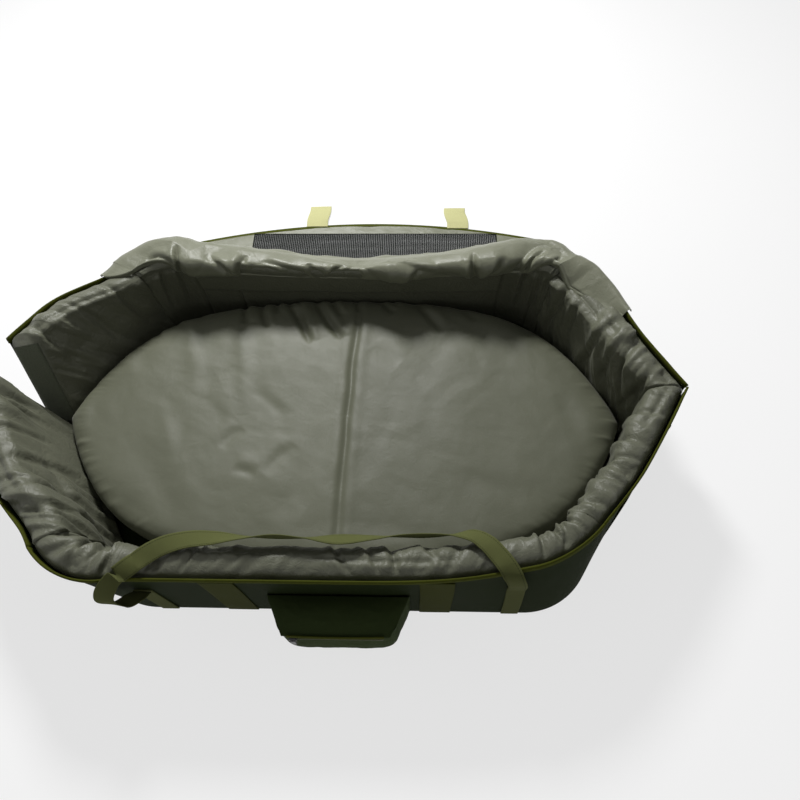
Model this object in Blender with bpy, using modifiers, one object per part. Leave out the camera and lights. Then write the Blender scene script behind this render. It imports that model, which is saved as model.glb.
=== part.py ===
"""Walled unhooking mat for fish: an oval crowned pad in a six-sided trough of padded walls.

The two left end panels stand open and lean outwards, the two right ones are closed, and the cover is
thrown back over the back wall and lies on the ground behind it.
Metres, +Z up, +X to the right tip, +Y to the back. The origin is the middle of the floor's underside.
"""

import math
from collections import namedtuple

import bmesh
import bpy
from mathutils import Matrix, Vector

# Plan of the walls' outer faces
HALF_LENGTH = 0.550
HALF_WIDTH = 0.312
CORNER_X = 0.364
CORNER_RADIUS = 0.120

# Walls
WALL_HEIGHT = 0.200
WALL_THICKNESS = 0.050
TOP_RADIUS = 0.018
FLOOR_SHEET = 0.002
FLOOR_INSET = 0.001
LINING_SHEET = 0.001
COVER_SHEET = 0.0012
BINDING_HEIGHT = 0.011
BINDING_INSIDE = 0.001
BINDING_OUTSIDE = 0.0025
BINDING_DROP = 0.001
GAP = 0.0003

# End panels
LEFT_FRONT_LEAN = math.radians(18)
LEFT_BACK_LEAN = math.radians(20)
LEFT_SLANT = 0.28
CLOSURE_SHEET = 0.0015
CLOSURE_MARGIN = 0.006
CLOSURE_FOOT = 0.020

# Webbing
WEB_WIDTH = 0.050
WEB_SHEET = 0.0015
BAND_X = 0.155
END_BAND_FROM_CORNER = 0.090
HANDLE_WIDTH = 0.028
HANDLE_SHEET = 0.0018
HANDLE_X = 0.275
HANDLE_STITCH_Z = 0.125
HANDLE_TAIL_SHEET = 0.0023
HANDLE_OFFSET = 0.0038
HANDLE_RIM_RADIUS = 0.0025
HANDLE_TURN = 0.030
HANDLE_INBOARD = 0.057
HANDLE_DROP = 0.090

# Oval pad
PAD_END_CLEARANCE = 0.063
PAD_SIDE_CLEARANCE = 0.006
PAD_HOLD = 24
PAD_SHIFT = 0.0
PAD_POWER = 2.3
PAD_TOP = 0.088
PAD_SHEET = 0.001
PAD_CREASE_X = 0.005
PAD_CREASE_DEPTH = 0.005
PAD_CREASE_WIDTH = 0.014
PAD_GATHER = 0.0022
PAD_GATHERS = 22
PAD_FOAM_INSET = 0.006

# Zipped pocket on the front wall
POCKET_X = 0.010
POCKET_FRONT_WIDTH = 0.156
POCKET_BACK_WIDTH = 0.210
POCKET_DEPTH = 0.058
POCKET_HEIGHT = 0.112
POCKET_GROUND = 0.004
POCKET_SHEET = 0.0015
POCKET_ROUND = 0.010
LID_SHEET = 0.002
LID_CROWN = 0.009
ZIP_TAPE = 0.016
ZIP_SHEET = 0.0008
COIL_WIDTH = 0.003
COIL_HEIGHT = 0.004
SLIDER_LENGTH = 0.011
SLIDER_WALL = 0.0016
SLIDER_PLAY = 0.0004
PULL_LENGTH = 0.024
PULL_WIDTH = 0.008
PULL_SHEET = 0.0016

# Thrown-back cover
CLOTH = 0.0016
COVER_HALF_WIDTH = 0.322
COVER_SHIFT = 0.028
HEM_DROP = 0.066
HEM_WAVE = 0.006
HEM_BULGE = 0.006
DROP_BEHIND = 0.0125
DROP_SPREAD = 0.048
FOLD_PITCH = 0.118
FOLD_DEPTH = 0.006
HINGE_BREAK = 0.0012
GROUND_CLEAR = 0.0003
END_LENGTH = 0.161
EDGE_SAG = 0.052
END_HALF_WIDTH = 0.385
END_SHOULDER = 0.060
MESH_SIDE = 0.090
MESH_NEAR = 0.026
MESH_FAR = 0.037
MESH_COLUMNS = 34
MESH_ROWS = 3
MESH_BAR = 0.0016
EDGE_TAPE = 0.005
EDGE_TAPE_SHEET = 0.0022
TAB_X = (-0.102, 0.212)
TAB_WIDTH = 0.048
TAB_LENGTH = 0.058

# Tip buckles, 25 mm webbing
BUCKLE_WEB = 0.025
BUCKLE_Z = 0.145
BUCKLE_LENGTH = 0.038
BUCKLE_WIDTH = 0.033
BUCKLE_THICK = 0.012
BUCKLE_WALL = 0.0022
BUCKLE_FROM_TIP = 0.018
BAR = 0.0028
BAR_CLEAR = 0.0008
SLOT = 0.0042
SLOT_HALF_WIDTH = 0.0132
LOOP_LAP = 0.020
PRONG_LENGTH = 0.026
PRONG_WIDTH = 0.005
PRONG_THICK = 0.004
PRONG_SPREAD = 0.0095
TAIL_LENGTH = 0.105

PART_NAME = "unhooking_mat"
Panel = namedtuple("Panel", "start along outward side lean slant")
PAD_HALF_LENGTH = HALF_LENGTH - PAD_END_CLEARANCE
PAD_HALF_WIDTH = HALF_WIDTH - WALL_THICKNESS - PAD_SIDE_CLEARANCE
CORNER_ANGLE = math.atan2(HALF_WIDTH, HALF_LENGTH - CORNER_X)
CORNER_TANGENT = CORNER_RADIUS * math.tan(CORNER_ANGLE / 2)
WALL_FOOT = FLOOR_SHEET + GAP
CORNER_STEPS = 5
LEVEL_TILT = 0.3


# Scene and materials

def clear_scene():
    for item in list(bpy.data.objects):
        bpy.data.objects.remove(item, do_unlink=True)


def new_collection(name):
    group = bpy.data.collections.new(name)
    bpy.context.scene.collection.children.link(group)
    return group


def material(name, colour, roughness, metallic=0.0):
    made = bpy.data.materials.get(name) or bpy.data.materials.new(name)
    made.use_nodes = True
    shader = made.node_tree.nodes["Principled BSDF"]
    shader.inputs["Base Color"].default_value = (*colour, 1.0)
    shader.inputs["Roughness"].default_value = roughness
    shader.inputs["Metallic"].default_value = metallic
    return made


FINISH = {
    "lining": ((0.085, 0.088, 0.070), 0.45),
    "outer": ((0.014, 0.020, 0.014), 0.70),
    "webbing": ((0.070, 0.075, 0.030), 0.75),
    "handle": ((0.040, 0.048, 0.026), 0.75),
    "foam": ((0.300, 0.300, 0.290), 0.95),
    "tab": ((0.300, 0.310, 0.170), 0.80),
    "mesh": ((0.030, 0.032, 0.034), 0.80),
    "closure": ((0.095, 0.105, 0.070), 0.90),
    "plastic": ((0.012, 0.012, 0.012), 0.35),
    "zip": ((0.090, 0.090, 0.030), 0.60),
}


def finished(name, bm, finish):
    """Turns a bmesh into a named object of the part, with its own material and outward faces."""
    bmesh.ops.remove_doubles(bm, verts=bm.verts, dist=GAP / 30)
    bmesh.ops.recalc_face_normals(bm, faces=bm.faces)
    mesh = bpy.data.meshes.new(name)
    bm.to_mesh(mesh)
    bm.free()
    item = bpy.data.objects.new(name, mesh)
    PARTS.objects.link(item)
    item.data.materials.append(material(name, *FINISH[finish]))
    return item


def solidify(item, thickness, offset=0.0):
    wall = item.modifiers.new("thickness", "SOLIDIFY")
    wall.thickness = thickness
    wall.offset = offset
    wall.use_even_offset = True
    return item


def give_origin(item, place):
    """Moves the object's origin to a joint's axis without moving its shape."""
    item.data.transform(Matrix.Translation(-Vector(place)))
    item.location = place


# Lofts

def loft(bm, rings, levels=None):
    """Joins equal closed rings of points into one closed solid with filled ends.

    Levels, one for each point of a ring, split every twisted side face from its high point on the first
    ring to its low point on the next, so that both faces of a thin sheet are split the same way.
    """
    made = [[bm.verts.new(point) for point in ring] for ring in rings]
    count = len(made[0])
    for first, second in zip(made, made[1:]):
        for i in range(count):
            j = (i + 1) % count
            corners = (first[i], first[j], second[j], second[i])
            if levels is None:
                bm.faces.new(corners)
            elif levels[j] < levels[i]:
                bm.faces.new(corners[:3])
                bm.faces.new((corners[0], corners[2], corners[3]))
            else:
                bm.faces.new((corners[0], corners[1], corners[3]))
                bm.faces.new(corners[1:])
    for cap in (made[0], made[-1]):
        bm.faces.new(cap)


def ribbon(bm, points, sides, width, thickness):
    """Lofts a flat strap along points; each side vector lies across its width."""
    points = [Vector(point) for point in points]
    rings = []
    for i, point in enumerate(points):
        run = points[min(i + 1, len(points) - 1)] - points[max(i - 1, 0)]
        side = Vector(sides[i]).normalized()
        face = run.cross(side).normalized()
        a, b = side * width / 2, face * thickness / 2
        rings.append([point - a - b, point + a - b, point + a + b, point - a + b])
    loft(bm, rings)


def box(bm, low, high):
    centre = [(a + b) / 2 for a, b in zip(low, high)]
    size = [b - a for a, b in zip(low, high)]
    place = Matrix.Translation(centre) @ Matrix.Diagonal((*size, 1.0))
    return bmesh.ops.create_cube(bm, size=1.0, matrix=place)["verts"]


def cloth_grid(bm, rows):
    """An open sheet through rows of points; Solidify gives it its thickness."""
    made = [[bm.verts.new(point) for point in row] for row in rows]
    for low, high in zip(made, made[1:]):
        for i in range(len(low) - 1):
            bm.faces.new((low[i], low[i + 1], high[i + 1], high[i]))


def arc(centre_u, centre_v, radius, start, stop, steps):
    """Points of an arc, angles in degrees."""
    turns = [math.radians(start + (stop - start) * i / steps) for i in range(steps + 1)]
    return [(centre_u + radius * math.cos(a), centre_v + radius * math.sin(a)) for a in turns]


# Wall sections: u is outwards from the outer face, v is up from the ground

def foam_section():
    outer = -(COVER_SHEET + GAP)
    inner = -(WALL_THICKNESS - LINING_SHEET - GAP)
    top = WALL_HEIGHT - LINING_SHEET - GAP
    section = [(outer, WALL_FOOT)]
    section += arc(outer - TOP_RADIUS, top - TOP_RADIUS, TOP_RADIUS, 0, 90, 3)
    section += arc(inner + TOP_RADIUS, top - TOP_RADIUS, TOP_RADIUS, 90, 180, 3)
    section.append((inner, WALL_FOOT))
    return section


def lining_contour(radius, stop):
    centre = WALL_HEIGHT - LINING_SHEET - GAP - TOP_RADIUS
    outer = -(COVER_SHEET + GAP) - TOP_RADIUS
    inner = -(WALL_THICKNESS - LINING_SHEET - GAP) + TOP_RADIUS
    contour = arc(outer, centre, radius, stop, 90, 2)
    contour += arc(inner, centre, radius, 90, 180, 3)
    contour.append((inner - radius, WALL_FOOT))
    return contour


def lining_section():
    inside = lining_contour(TOP_RADIUS + GAP, LINING_END_ANGLE)
    outside = lining_contour(TOP_RADIUS + GAP + LINING_SHEET, LINING_END_ANGLE)
    return outside + inside[::-1]


LINING_END_ANGLE = 30


def cover_section():
    shoulder = WALL_HEIGHT - LINING_SHEET - GAP - TOP_RADIUS
    levels = (WALL_FOOT, shoulder, band_top())
    return [(0, v) for v in levels] + [(-COVER_SHEET, v) for v in reversed(levels)]


def binding_section():
    top = WALL_HEIGHT - BINDING_DROP
    foot = top - BINDING_HEIGHT
    bevel = BINDING_INSIDE
    return [
        (-BINDING_INSIDE, foot),
        (BINDING_OUTSIDE, foot),
        (BINDING_OUTSIDE, top - bevel),
        (BINDING_OUTSIDE - bevel, top),
        (-BINDING_INSIDE, top),
    ]


# Places on the walls

def leaned(origin, outward, lean, u, v):
    """A point of a wall's section that leans about the outer bottom edge."""
    across = u * math.cos(lean) + v * math.sin(lean)
    up = v * math.cos(lean) - u * math.sin(lean)
    return Vector((origin[0] + outward[0] * across, origin[1] + outward[1] * across, up))


def corner_station(sign_x, sign_y, share):
    """A place on a rounded corner's outer line: 0 is on the long side, 1 on the end panel's side."""
    angle = CORNER_ANGLE * share
    centre = Vector((CORNER_X - CORNER_TANGENT, HALF_WIDTH - CORNER_RADIUS))
    normal = Vector((math.sin(angle), math.cos(angle)))
    place = centre + normal * CORNER_RADIUS
    return (place[0] * sign_x, place[1] * sign_y), (normal[0] * sign_x, normal[1] * sign_y)


def end_panel(sign_x, sign_y, lean, slant):
    start, outward = corner_station(sign_x, sign_y, 1)
    along = (math.cos(CORNER_ANGLE) * sign_x, -math.sin(CORNER_ANGLE) * sign_y)
    return Panel(start, along, outward, sign_y, lean, slant)


def panel_point(panel, along, u, v):
    origin = [panel.start[i] + panel.along[i] * along for i in range(2)]
    return leaned(origin, panel.outward, panel.lean, u, v)


def mitre(panel, u, v, back):
    """How far along the panel its end lies, cut back from the plane where the two panels meet."""
    plane = panel.slant * v + panel.side * back
    return (plane - panel.start[1] - panel.outward[1] * u) / panel.along[1]


PANELS = {
    "left_front": end_panel(-1, -1, LEFT_FRONT_LEAN, LEFT_SLANT),
    "left_back": end_panel(-1, 1, LEFT_BACK_LEAN, LEFT_SLANT),
    "right_front": end_panel(1, -1, 0, 0),
    "right_back": end_panel(1, 1, 0, 0),
}


# Walls

def long_wall(side, section):
    """Front or back wall: it turns both corners and meets the end panels' leans there."""
    lean_left = PANELS["left_front" if side < 0 else "left_back"].lean
    shares = [1 - i / CORNER_STEPS for i in range(CORNER_STEPS + 1)]
    rings = []
    for share in shares:
        place, outward = corner_station(-1, side, share)
        rings.append([leaned(place, outward, lean_left * share, u, v) for u, v in section])
    for share in reversed(shares):
        place, outward = corner_station(1, side, share)
        rings.append([leaned(place, outward, 0, u, v) for u, v in section])
    bm = bmesh.new()
    loft(bm, rings, [v + u * LEVEL_TILT for u, v in section])
    return bm


def panel_wall(panel, section):
    """An end panel's piece, square at the corner and mitred at the tip."""
    back = CLOSURE_SHEET + 2 * GAP
    first = [panel_point(panel, 2 * GAP, u, v) for u, v in section]
    last = [panel_point(panel, mitre(panel, u, v, back), u, v) for u, v in section]
    bm = bmesh.new()
    loft(bm, [first, last])
    return bm


def closure_strip(panel):
    """The hook-and-loop sheet on a mitred end face."""
    low, high = WALL_FOOT + CLOSURE_FOOT, WALL_HEIGHT - TOP_RADIUS - CLOSURE_MARGIN / 2
    near, far = -CLOSURE_MARGIN / 2, -WALL_THICKNESS + CLOSURE_MARGIN / 2
    section = [(near, low), (near, high), (far, high), (far, low)]
    bm = bmesh.new()
    rings = []
    for back in (GAP + CLOSURE_SHEET, GAP):
        rings.append([panel_point(panel, mitre(panel, u, v, back), u, v) for u, v in section])
    loft(bm, rings)
    return bm


def panel_sheet(panel, outline, inner, thickness):
    """A flat sheet on a panel's face from an outline of (along, up) places."""
    bm = bmesh.new()
    loft(bm, [[panel_point(panel, along, u, v) for along, v in outline] for u in (inner, inner + thickness)])
    return bm


def buckle_rear(panel):
    end = mitre(panel, 0, BUCKLE_Z + panel.side * BUCKLE_WIDTH / 2, 0)
    return end - BUCKLE_FROM_TIP - BUCKLE_LENGTH


def panel_webbing(name, panel):
    """The wide band down a panel's outer face, with the buckle's strap sewn on as one piece."""
    low, high = BUCKLE_Z - BUCKLE_WEB / 2, BUCKLE_Z + BUCKLE_WEB / 2
    left, right = END_BAND_FROM_CORNER - WEB_WIDTH / 2, END_BAND_FROM_CORNER + WEB_WIDTH / 2
    end = buckle_rear(panel) - LOOP_LAP / 2
    outline = [(left, WALL_FOOT), (right, WALL_FOOT), (right, low)]
    if panel.side < 0:
        tail = end - LOOP_LAP
        outline += [(tail - BUCKLE_WEB, low), (tail - BUCKLE_WEB, low - TAIL_LENGTH)]
        outline += [(tail, low - TAIL_LENGTH), (tail, low)]
    outline += [(end, low), (end, high), (right, high), (right, band_top()), (left, band_top())]
    item = finished(name, panel_sheet(panel, outline, GAP, WEB_SHEET), "webbing")
    loop = item.modifiers.new("loop", "BOOLEAN")
    loop.operation = "UNION"
    loop.object = guide(name + "_loop", strap_loop(panel))
    return item


def strap_loop(panel):
    """The strap's end, led through the buckle's slot, round its bar and back over itself."""
    side = BAR / 2 + BAR_CLEAR + WEB_SHEET / 2
    turn = WEB_SHEET / 2
    over = 2 * side - WEB_SHEET - GAP
    path = [(-LOOP_LAP, -side), (side - turn, -side), (side, turn - side), (side, side - turn),
            (side - turn, side), (-turn, side), (-2 * side, side - over), (-LOOP_LAP / 2, side - over)]
    points = [buckle_place(panel) @ Vector((BAR / 2 + x, BAR / 2 + y, 0)) for x, y in path]
    across = buckle_place(panel).to_3x3() @ Vector((0, 0, 1))
    bm = bmesh.new()
    ribbon(bm, points, [across] * len(points), BUCKLE_WEB, WEB_SHEET)
    return bm


def buckle_place(panel):
    """Local x towards the tip, y out of the face, z up the face, from the buckle half's rear edge."""
    rear = buckle_rear(panel)
    seat = GAP + WEB_SHEET + BAR_CLEAR
    origin = panel_point(panel, rear, seat, BUCKLE_Z)
    x = (panel_point(panel, rear + BUCKLE_LENGTH, seat, BUCKLE_Z) - origin).normalized()
    y = (panel_point(panel, rear, seat + BUCKLE_THICK, BUCKLE_Z) - origin).normalized()
    z = (panel_point(panel, rear, seat, BUCKLE_Z + BUCKLE_WIDTH) - origin).normalized()
    place = Matrix((x, y, z)).transposed().to_4x4()
    place.translation = origin
    return place


def subtract(item, cutter):
    """Cuts a hidden wire-drawn cutter out of an object."""
    cut = item.modifiers.new("cut", "BOOLEAN")
    cut.operation = "DIFFERENCE"
    cut.object = cutter


def guide(name, bm):
    """A hidden shape that a Boolean takes away or adds."""
    bmesh.ops.recalc_face_normals(bm, faces=bm.faces)
    mesh = bpy.data.meshes.new(name)
    bm.to_mesh(mesh)
    bm.free()
    item = bpy.data.objects.new(name, mesh)
    item.hide_render = True
    item.display_type = "WIRE"
    CUTTERS.objects.link(item)
    return item


def box_cutter(name, low, high, place):
    bm = bmesh.new()
    box(bm, low, high)
    bmesh.ops.transform(bm, matrix=place, verts=bm.verts)
    return guide(name, bm)


def slot_cutter(name, panel):
    reach = BUCKLE_THICK
    return box_cutter(name, (BAR, -reach, -SLOT_HALF_WIDTH), (BAR + SLOT, reach, SLOT_HALF_WIDTH), buckle_place(panel))


def buckle_socket(name, panel):
    """The buckle's hollow half: open towards the tip, with a window in each narrow side."""
    half = BUCKLE_WIDTH / 2
    neck = BAR + SLOT + BUCKLE_WALL
    profile = [(0, 0), (BUCKLE_LENGTH, 0), (BUCKLE_LENGTH, BUCKLE_THICK), (neck + BUCKLE_WALL, BUCKLE_THICK),
               (neck, BUCKLE_THICK - BUCKLE_WALL), (neck, BAR), (0, BAR)]
    bm = bmesh.new()
    loft(bm, [[(x, y, z) for x, y in profile] for z in (-half, half)])
    bmesh.ops.transform(bm, matrix=buckle_place(panel), verts=bm.verts)
    item = finished(name, bm, "plastic")
    back = neck + BUCKLE_WALL
    inner, outer = BUCKLE_WALL, BUCKLE_THICK - BUCKLE_WALL
    reach = BUCKLE_LENGTH + BUCKLE_WALL
    chamber = ((back, inner, inner - half), (reach, outer, half - inner))
    window = ((back + BUCKLE_WALL, inner + GAP, -half - BUCKLE_WALL),
              (back + PRONG_LENGTH / 2, outer - GAP, half + BUCKLE_WALL))
    for part, (low, high) in (("chamber", chamber), ("window", window)):
        subtract(item, box_cutter(f"{name}_{part}", low, high, buckle_place(panel)))
    subtract(item, slot_cutter(name + "_slot", panel))
    give_origin(item, buckle_axis(panel))
    return item


def buckle_plug(name, panel):
    """The buckle's pronged half: a slotted end, a middle tongue and two side arms with barbs."""
    half = BUCKLE_WIDTH / 2
    root = BUCKLE_LENGTH - PRONG_LENGTH
    barb = BUCKLE_LENGTH - 2 * PRONG_WIDTH
    outline = [
        (0, -half), (root, -half), (root + BUCKLE_WALL, -PRONG_SPREAD - PRONG_WIDTH),
        (barb, -PRONG_SPREAD - PRONG_WIDTH), (barb, -half + BUCKLE_WALL + GAP),
        (BUCKLE_LENGTH, -PRONG_SPREAD), (root + PRONG_WIDTH, -PRONG_SPREAD),
        (root + PRONG_WIDTH / 2, -PRONG_WIDTH / 2), (BUCKLE_LENGTH - PRONG_WIDTH, -PRONG_WIDTH / 2),
    ]
    outline += [(x, -z) for x, z in reversed(outline)]
    bm = bmesh.new()
    loft(bm, [[(x, y, z) for x, z in outline] for y in (0, BAR)])
    bmesh.ops.transform(bm, matrix=buckle_place(panel), verts=bm.verts)
    item = finished(name, bm, "plastic")
    subtract(item, slot_cutter(name + "_slot", panel))
    give_origin(item, buckle_axis(panel))
    return item


def buckle_axis(panel):
    return buckle_place(panel) @ Vector((BAR / 2, BAR / 2, 0))


def build_walls():
    sections = (
        ("foam", foam_section(), "foam"),
        ("lining", lining_section(), "lining"),
        ("outer_cover", cover_section(), "outer"),
        ("rim_binding", binding_section(), "webbing"),
    )
    for name, side in (("front", -1), ("back", 1)):
        for piece, section, finish in sections:
            finished(f"{name}_{piece}", long_wall(side, section), finish)
    for name, panel in PANELS.items():
        for piece, section, finish in sections:
            item = finished(f"{name}_{piece}", panel_wall(panel, section), finish)
            give_origin(item, (*panel.start, 0))
        give_origin(finished(f"{name}_closure_strip", closure_strip(panel), "closure"), (*panel.start, 0))
        give_origin(panel_webbing(f"{name}_webbing", panel), (*panel.start, 0))
        if panel.side < 0:
            buckle_plug(f"{name}_buckle_plug", panel)
        else:
            buckle_socket(f"{name}_buckle_socket", panel)


# Floor and the long walls' webbing

def floor_outline():
    """The walls' outer line, drawn in a little so that the panels turn clear of the floor."""
    quarter = [corner_station(1, 1, i / CORNER_STEPS) for i in range(CORNER_STEPS + 1)]
    quarter = [(x - nx * FLOOR_INSET, y - ny * FLOOR_INSET) for (x, y), (nx, ny) in quarter]
    tip = (HALF_LENGTH - FLOOR_INSET / math.sin(CORNER_ANGLE), 0)
    top = [(-x, y) for x, y in reversed(quarter)] + quarter
    top = [(-tip[0], 0)] + top + [tip]
    return top + [(x, -y) for x, y in reversed(top[1:-1])]


def flat_curve(name, outlines, thickness, height, finish):
    """A flat sheet from closed outlines; the second and later ones are holes."""
    curve = bpy.data.curves.new(name, "CURVE")
    curve.dimensions = "2D"
    curve.fill_mode = "BOTH"
    curve.extrude = thickness / 2
    for outline in outlines:
        spline = curve.splines.new("POLY")
        spline.points.add(len(outline) - 1)
        for point, (x, y) in zip(spline.points, outline):
            point.co = (x, y, 0, 1)
        spline.use_cyclic_u = True
    item = bpy.data.objects.new(name, curve)
    item.location = (0, 0, height)
    PARTS.objects.link(item)
    curve.materials.append(material(name, *FINISH[finish]))
    return item


def band_top():
    return WALL_HEIGHT - BINDING_DROP - BINDING_HEIGHT - GAP


def wall_band(name, x):
    """A wide band sewn down the front wall's outer face."""
    bm = bmesh.new()
    near = -HALF_WIDTH - GAP
    box(bm, (x - WEB_WIDTH / 2, near - WEB_SHEET, WALL_FOOT), (x + WEB_WIDTH / 2, near, band_top()))
    return finished(name, bm, "webbing")


def handle_tail(name, x):
    """A handle's end, sewn flat to the outer face from the base up to where the strap comes free."""
    near = -HALF_WIDTH - GAP
    top = HANDLE_STITCH_Z + HANDLE_WIDTH / 3
    bm = bmesh.new()
    box(bm, (x - HANDLE_WIDTH / 2, near - HANDLE_TAIL_SHEET, WALL_FOOT), (x + HANDLE_WIDTH / 2, near, top))
    return finished(name, bm, "handle")


# Handles

def half_turn_points(first_x, start, turn):
    """A quarter turn in a plane: x moves inwards as the second value runs away from the hinge line."""
    places = []
    steps = 4
    for i in range(steps + 1):
        angle = math.radians(90) * i / steps
        places.append((first_x - turn + turn * math.cos(angle), start + turn * math.sin(angle), angle))
    return places


def mirrored_strap(half_points, half_sides):
    points = [Vector(point) for point in half_points]
    sides = [Vector(side) for side in half_sides]
    points += [Vector((-x, y, z)) for x, y, z in reversed(points)]
    sides += [Vector((-x, y, z)) for x, y, z in reversed(sides)]
    return points, sides


def front_handle():
    """Comes free of the outer face, crosses the rim and lies along the wall's inner edge."""
    face = -(HALF_WIDTH + HANDLE_OFFSET)
    level = WALL_HEIGHT + HANDLE_RIM_RADIUS - BINDING_DROP + GAP
    points = [(HANDLE_X, face, HANDLE_STITCH_Z)]
    sides = [(1, 0, 0)]
    for i in range(4):
        angle = math.radians(30) * i
        out = HANDLE_RIM_RADIUS * (1 - math.cos(angle))
        up = HANDLE_RIM_RADIUS * math.sin(angle)
        points.append((HANDLE_X, face + out, level - HANDLE_RIM_RADIUS + up))
        sides.append((1, 0, 0))
    start = face + HANDLE_INBOARD - HANDLE_TURN
    for x, y, angle in half_turn_points(HANDLE_X, start, HANDLE_TURN):
        points.append((x, y, level))
        sides.append((math.cos(angle), math.sin(angle), 0))
    bm = bmesh.new()
    ribbon(bm, *mirrored_strap(points, sides), HANDLE_WIDTH, HANDLE_SHEET)
    item = finished("front_handle", bm, "handle")
    give_origin(item, (0, face, HANDLE_STITCH_Z))
    return item


def back_handle():
    """Hangs down the back wall's outer face, under the thrown-back cover."""
    face = HALF_WIDTH + GAP + HANDLE_SHEET / 2
    points = [(HANDLE_X, face, HANDLE_STITCH_Z)]
    sides = [(1, 0, 0)]
    for x, down, angle in half_turn_points(HANDLE_X, HANDLE_DROP - HANDLE_TURN, HANDLE_TURN):
        points.append((x, face, HANDLE_STITCH_Z - down))
        sides.append((math.cos(angle), 0, -math.sin(angle)))
    bm = bmesh.new()
    ribbon(bm, *mirrored_strap(points, sides), HANDLE_WIDTH, HANDLE_SHEET)
    item = finished("back_handle", bm, "handle")
    give_origin(item, (0, face, HANDLE_STITCH_Z))
    return item


# Pad

RING_SHARES = ((0.970, 0.00), (1.000, 0.25), (1.000, 0.55), (0.978, 0.78),
               (0.935, 0.90), (0.850, 0.96), (0.660, 0.985), (0.360, 1.00))


def pad_point(turn, radius_share, height_share, inset, foot, top):
    """A point of the crowned oval, which flattens where the end walls hold it; turn goes round the plan."""
    way = Vector((PAD_HALF_LENGTH * math.cos(turn), PAD_HALF_WIDTH * math.sin(turn))).normalized()
    long_share = abs(way.x) / (PAD_HALF_LENGTH - inset)
    wide_share = abs(way.y) / (PAD_HALF_WIDTH - inset)
    oval = (long_share ** PAD_POWER + wide_share ** PAD_POWER) ** (1 / PAD_POWER)
    room = HALF_LENGTH * math.sin(CORNER_ANGLE) - WALL_THICKNESS - PAD_SIDE_CLEARANCE - inset
    held = (abs(way.x) * math.sin(CORNER_ANGLE) + abs(way.y) * math.cos(CORNER_ANGLE)) / room
    reach = radius_share / (oval ** PAD_HOLD + held ** PAD_HOLD) ** (1 / PAD_HOLD)
    return Vector((PAD_SHIFT + way.x * reach, way.y * reach, foot + (top - foot) * height_share))


def pad_dome(around, shares, inset, foot, top, dressed):
    """Rings from the bottom edge to the crown; the dressed one has the centre crease and gathers."""
    bm = bmesh.new()
    rings = []
    for radius_share, height_share in shares:
        ring = []
        for i in range(around):
            turn = math.tau * (i + 0.5) / around
            point = pad_point(turn, radius_share, height_share, inset, foot, top)
            if dressed:
                dress_pad(point, turn, radius_share, height_share)
            ring.append(bm.verts.new(point))
        rings.append(ring)
    crown = Vector((PAD_SHIFT, 0, top))
    if dressed:
        dress_pad(crown, 0, 0, 1)
    centre = bm.verts.new(crown)
    for low, high in zip(rings, rings[1:]):
        for i in range(around):
            j = (i + 1) % around
            bm.faces.new((low[i], low[j], high[j], high[i]))
    for i in range(around):
        bm.faces.new((rings[-1][i], rings[-1][(i + 1) % around], centre))
    return bm, rings[0]


def dress_pad(point, turn, radius_share, height_share):
    crease = math.exp(-(((point.x - PAD_CREASE_X) / PAD_CREASE_WIDTH) ** 2))
    point.z -= PAD_CREASE_DEPTH * crease * height_share
    edge = max(0.0, radius_share - RING_SHARES[-1][0]) * height_share
    point.z -= PAD_GATHER * math.cos(PAD_GATHERS * turn) * edge


def build_pad():
    foot = WALL_FOOT + PAD_SHEET + GAP
    around = 56
    bm, _ = pad_dome(around, RING_SHARES, 0, foot, PAD_TOP, True)
    solidify(finished("pad_cover", bm, "lining"), PAD_SHEET, -1.0)
    turns = [math.tau * (i + 0.5) / around for i in range(around)]
    outline = [pad_point(turn, RING_SHARES[0][0], 0, 0, foot, PAD_TOP).xy for turn in turns]
    flat_curve("pad_base", [outline], PAD_SHEET, WALL_FOOT + PAD_SHEET / 2, "outer")
    foam_shares = (RING_SHARES[0], RING_SHARES[2], RING_SHARES[4], RING_SHARES[6])
    for name, side in (("pad_foam_left", -1), ("pad_foam_right", 1)):
        top = PAD_TOP - PAD_CREASE_DEPTH - PAD_FOAM_INSET / 2
        bm, bottom = pad_dome(28, foam_shares, PAD_FOAM_INSET, foot, top, False)
        bm.faces.new(bottom)
        everything = bm.verts[:] + bm.edges[:] + bm.faces[:]
        cut = bmesh.ops.bisect_plane(bm, geom=everything, plane_co=(side * GAP + PAD_CREASE_X, 0, 0),
                                     plane_no=(-side, 0, 0), clear_outer=True)
        edges = [piece for piece in cut["geom_cut"] if isinstance(piece, bmesh.types.BMEdge)]
        bmesh.ops.edgeloop_fill(bm, edges=edges)
        finished(name, bm, "foam")


# Pocket

def pocket_outline(grow):
    """Plan of the pocket: wider where it is sewn to the wall than at its front."""
    back = -(HALF_WIDTH + GAP)
    front = back - POCKET_DEPTH
    wide, narrow = POCKET_BACK_WIDTH / 2 + grow, POCKET_FRONT_WIDTH / 2 + grow
    return [(POCKET_X - wide, back), (POCKET_X - narrow, front - grow),
            (POCKET_X + narrow, front - grow), (POCKET_X + wide, back)]


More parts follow.
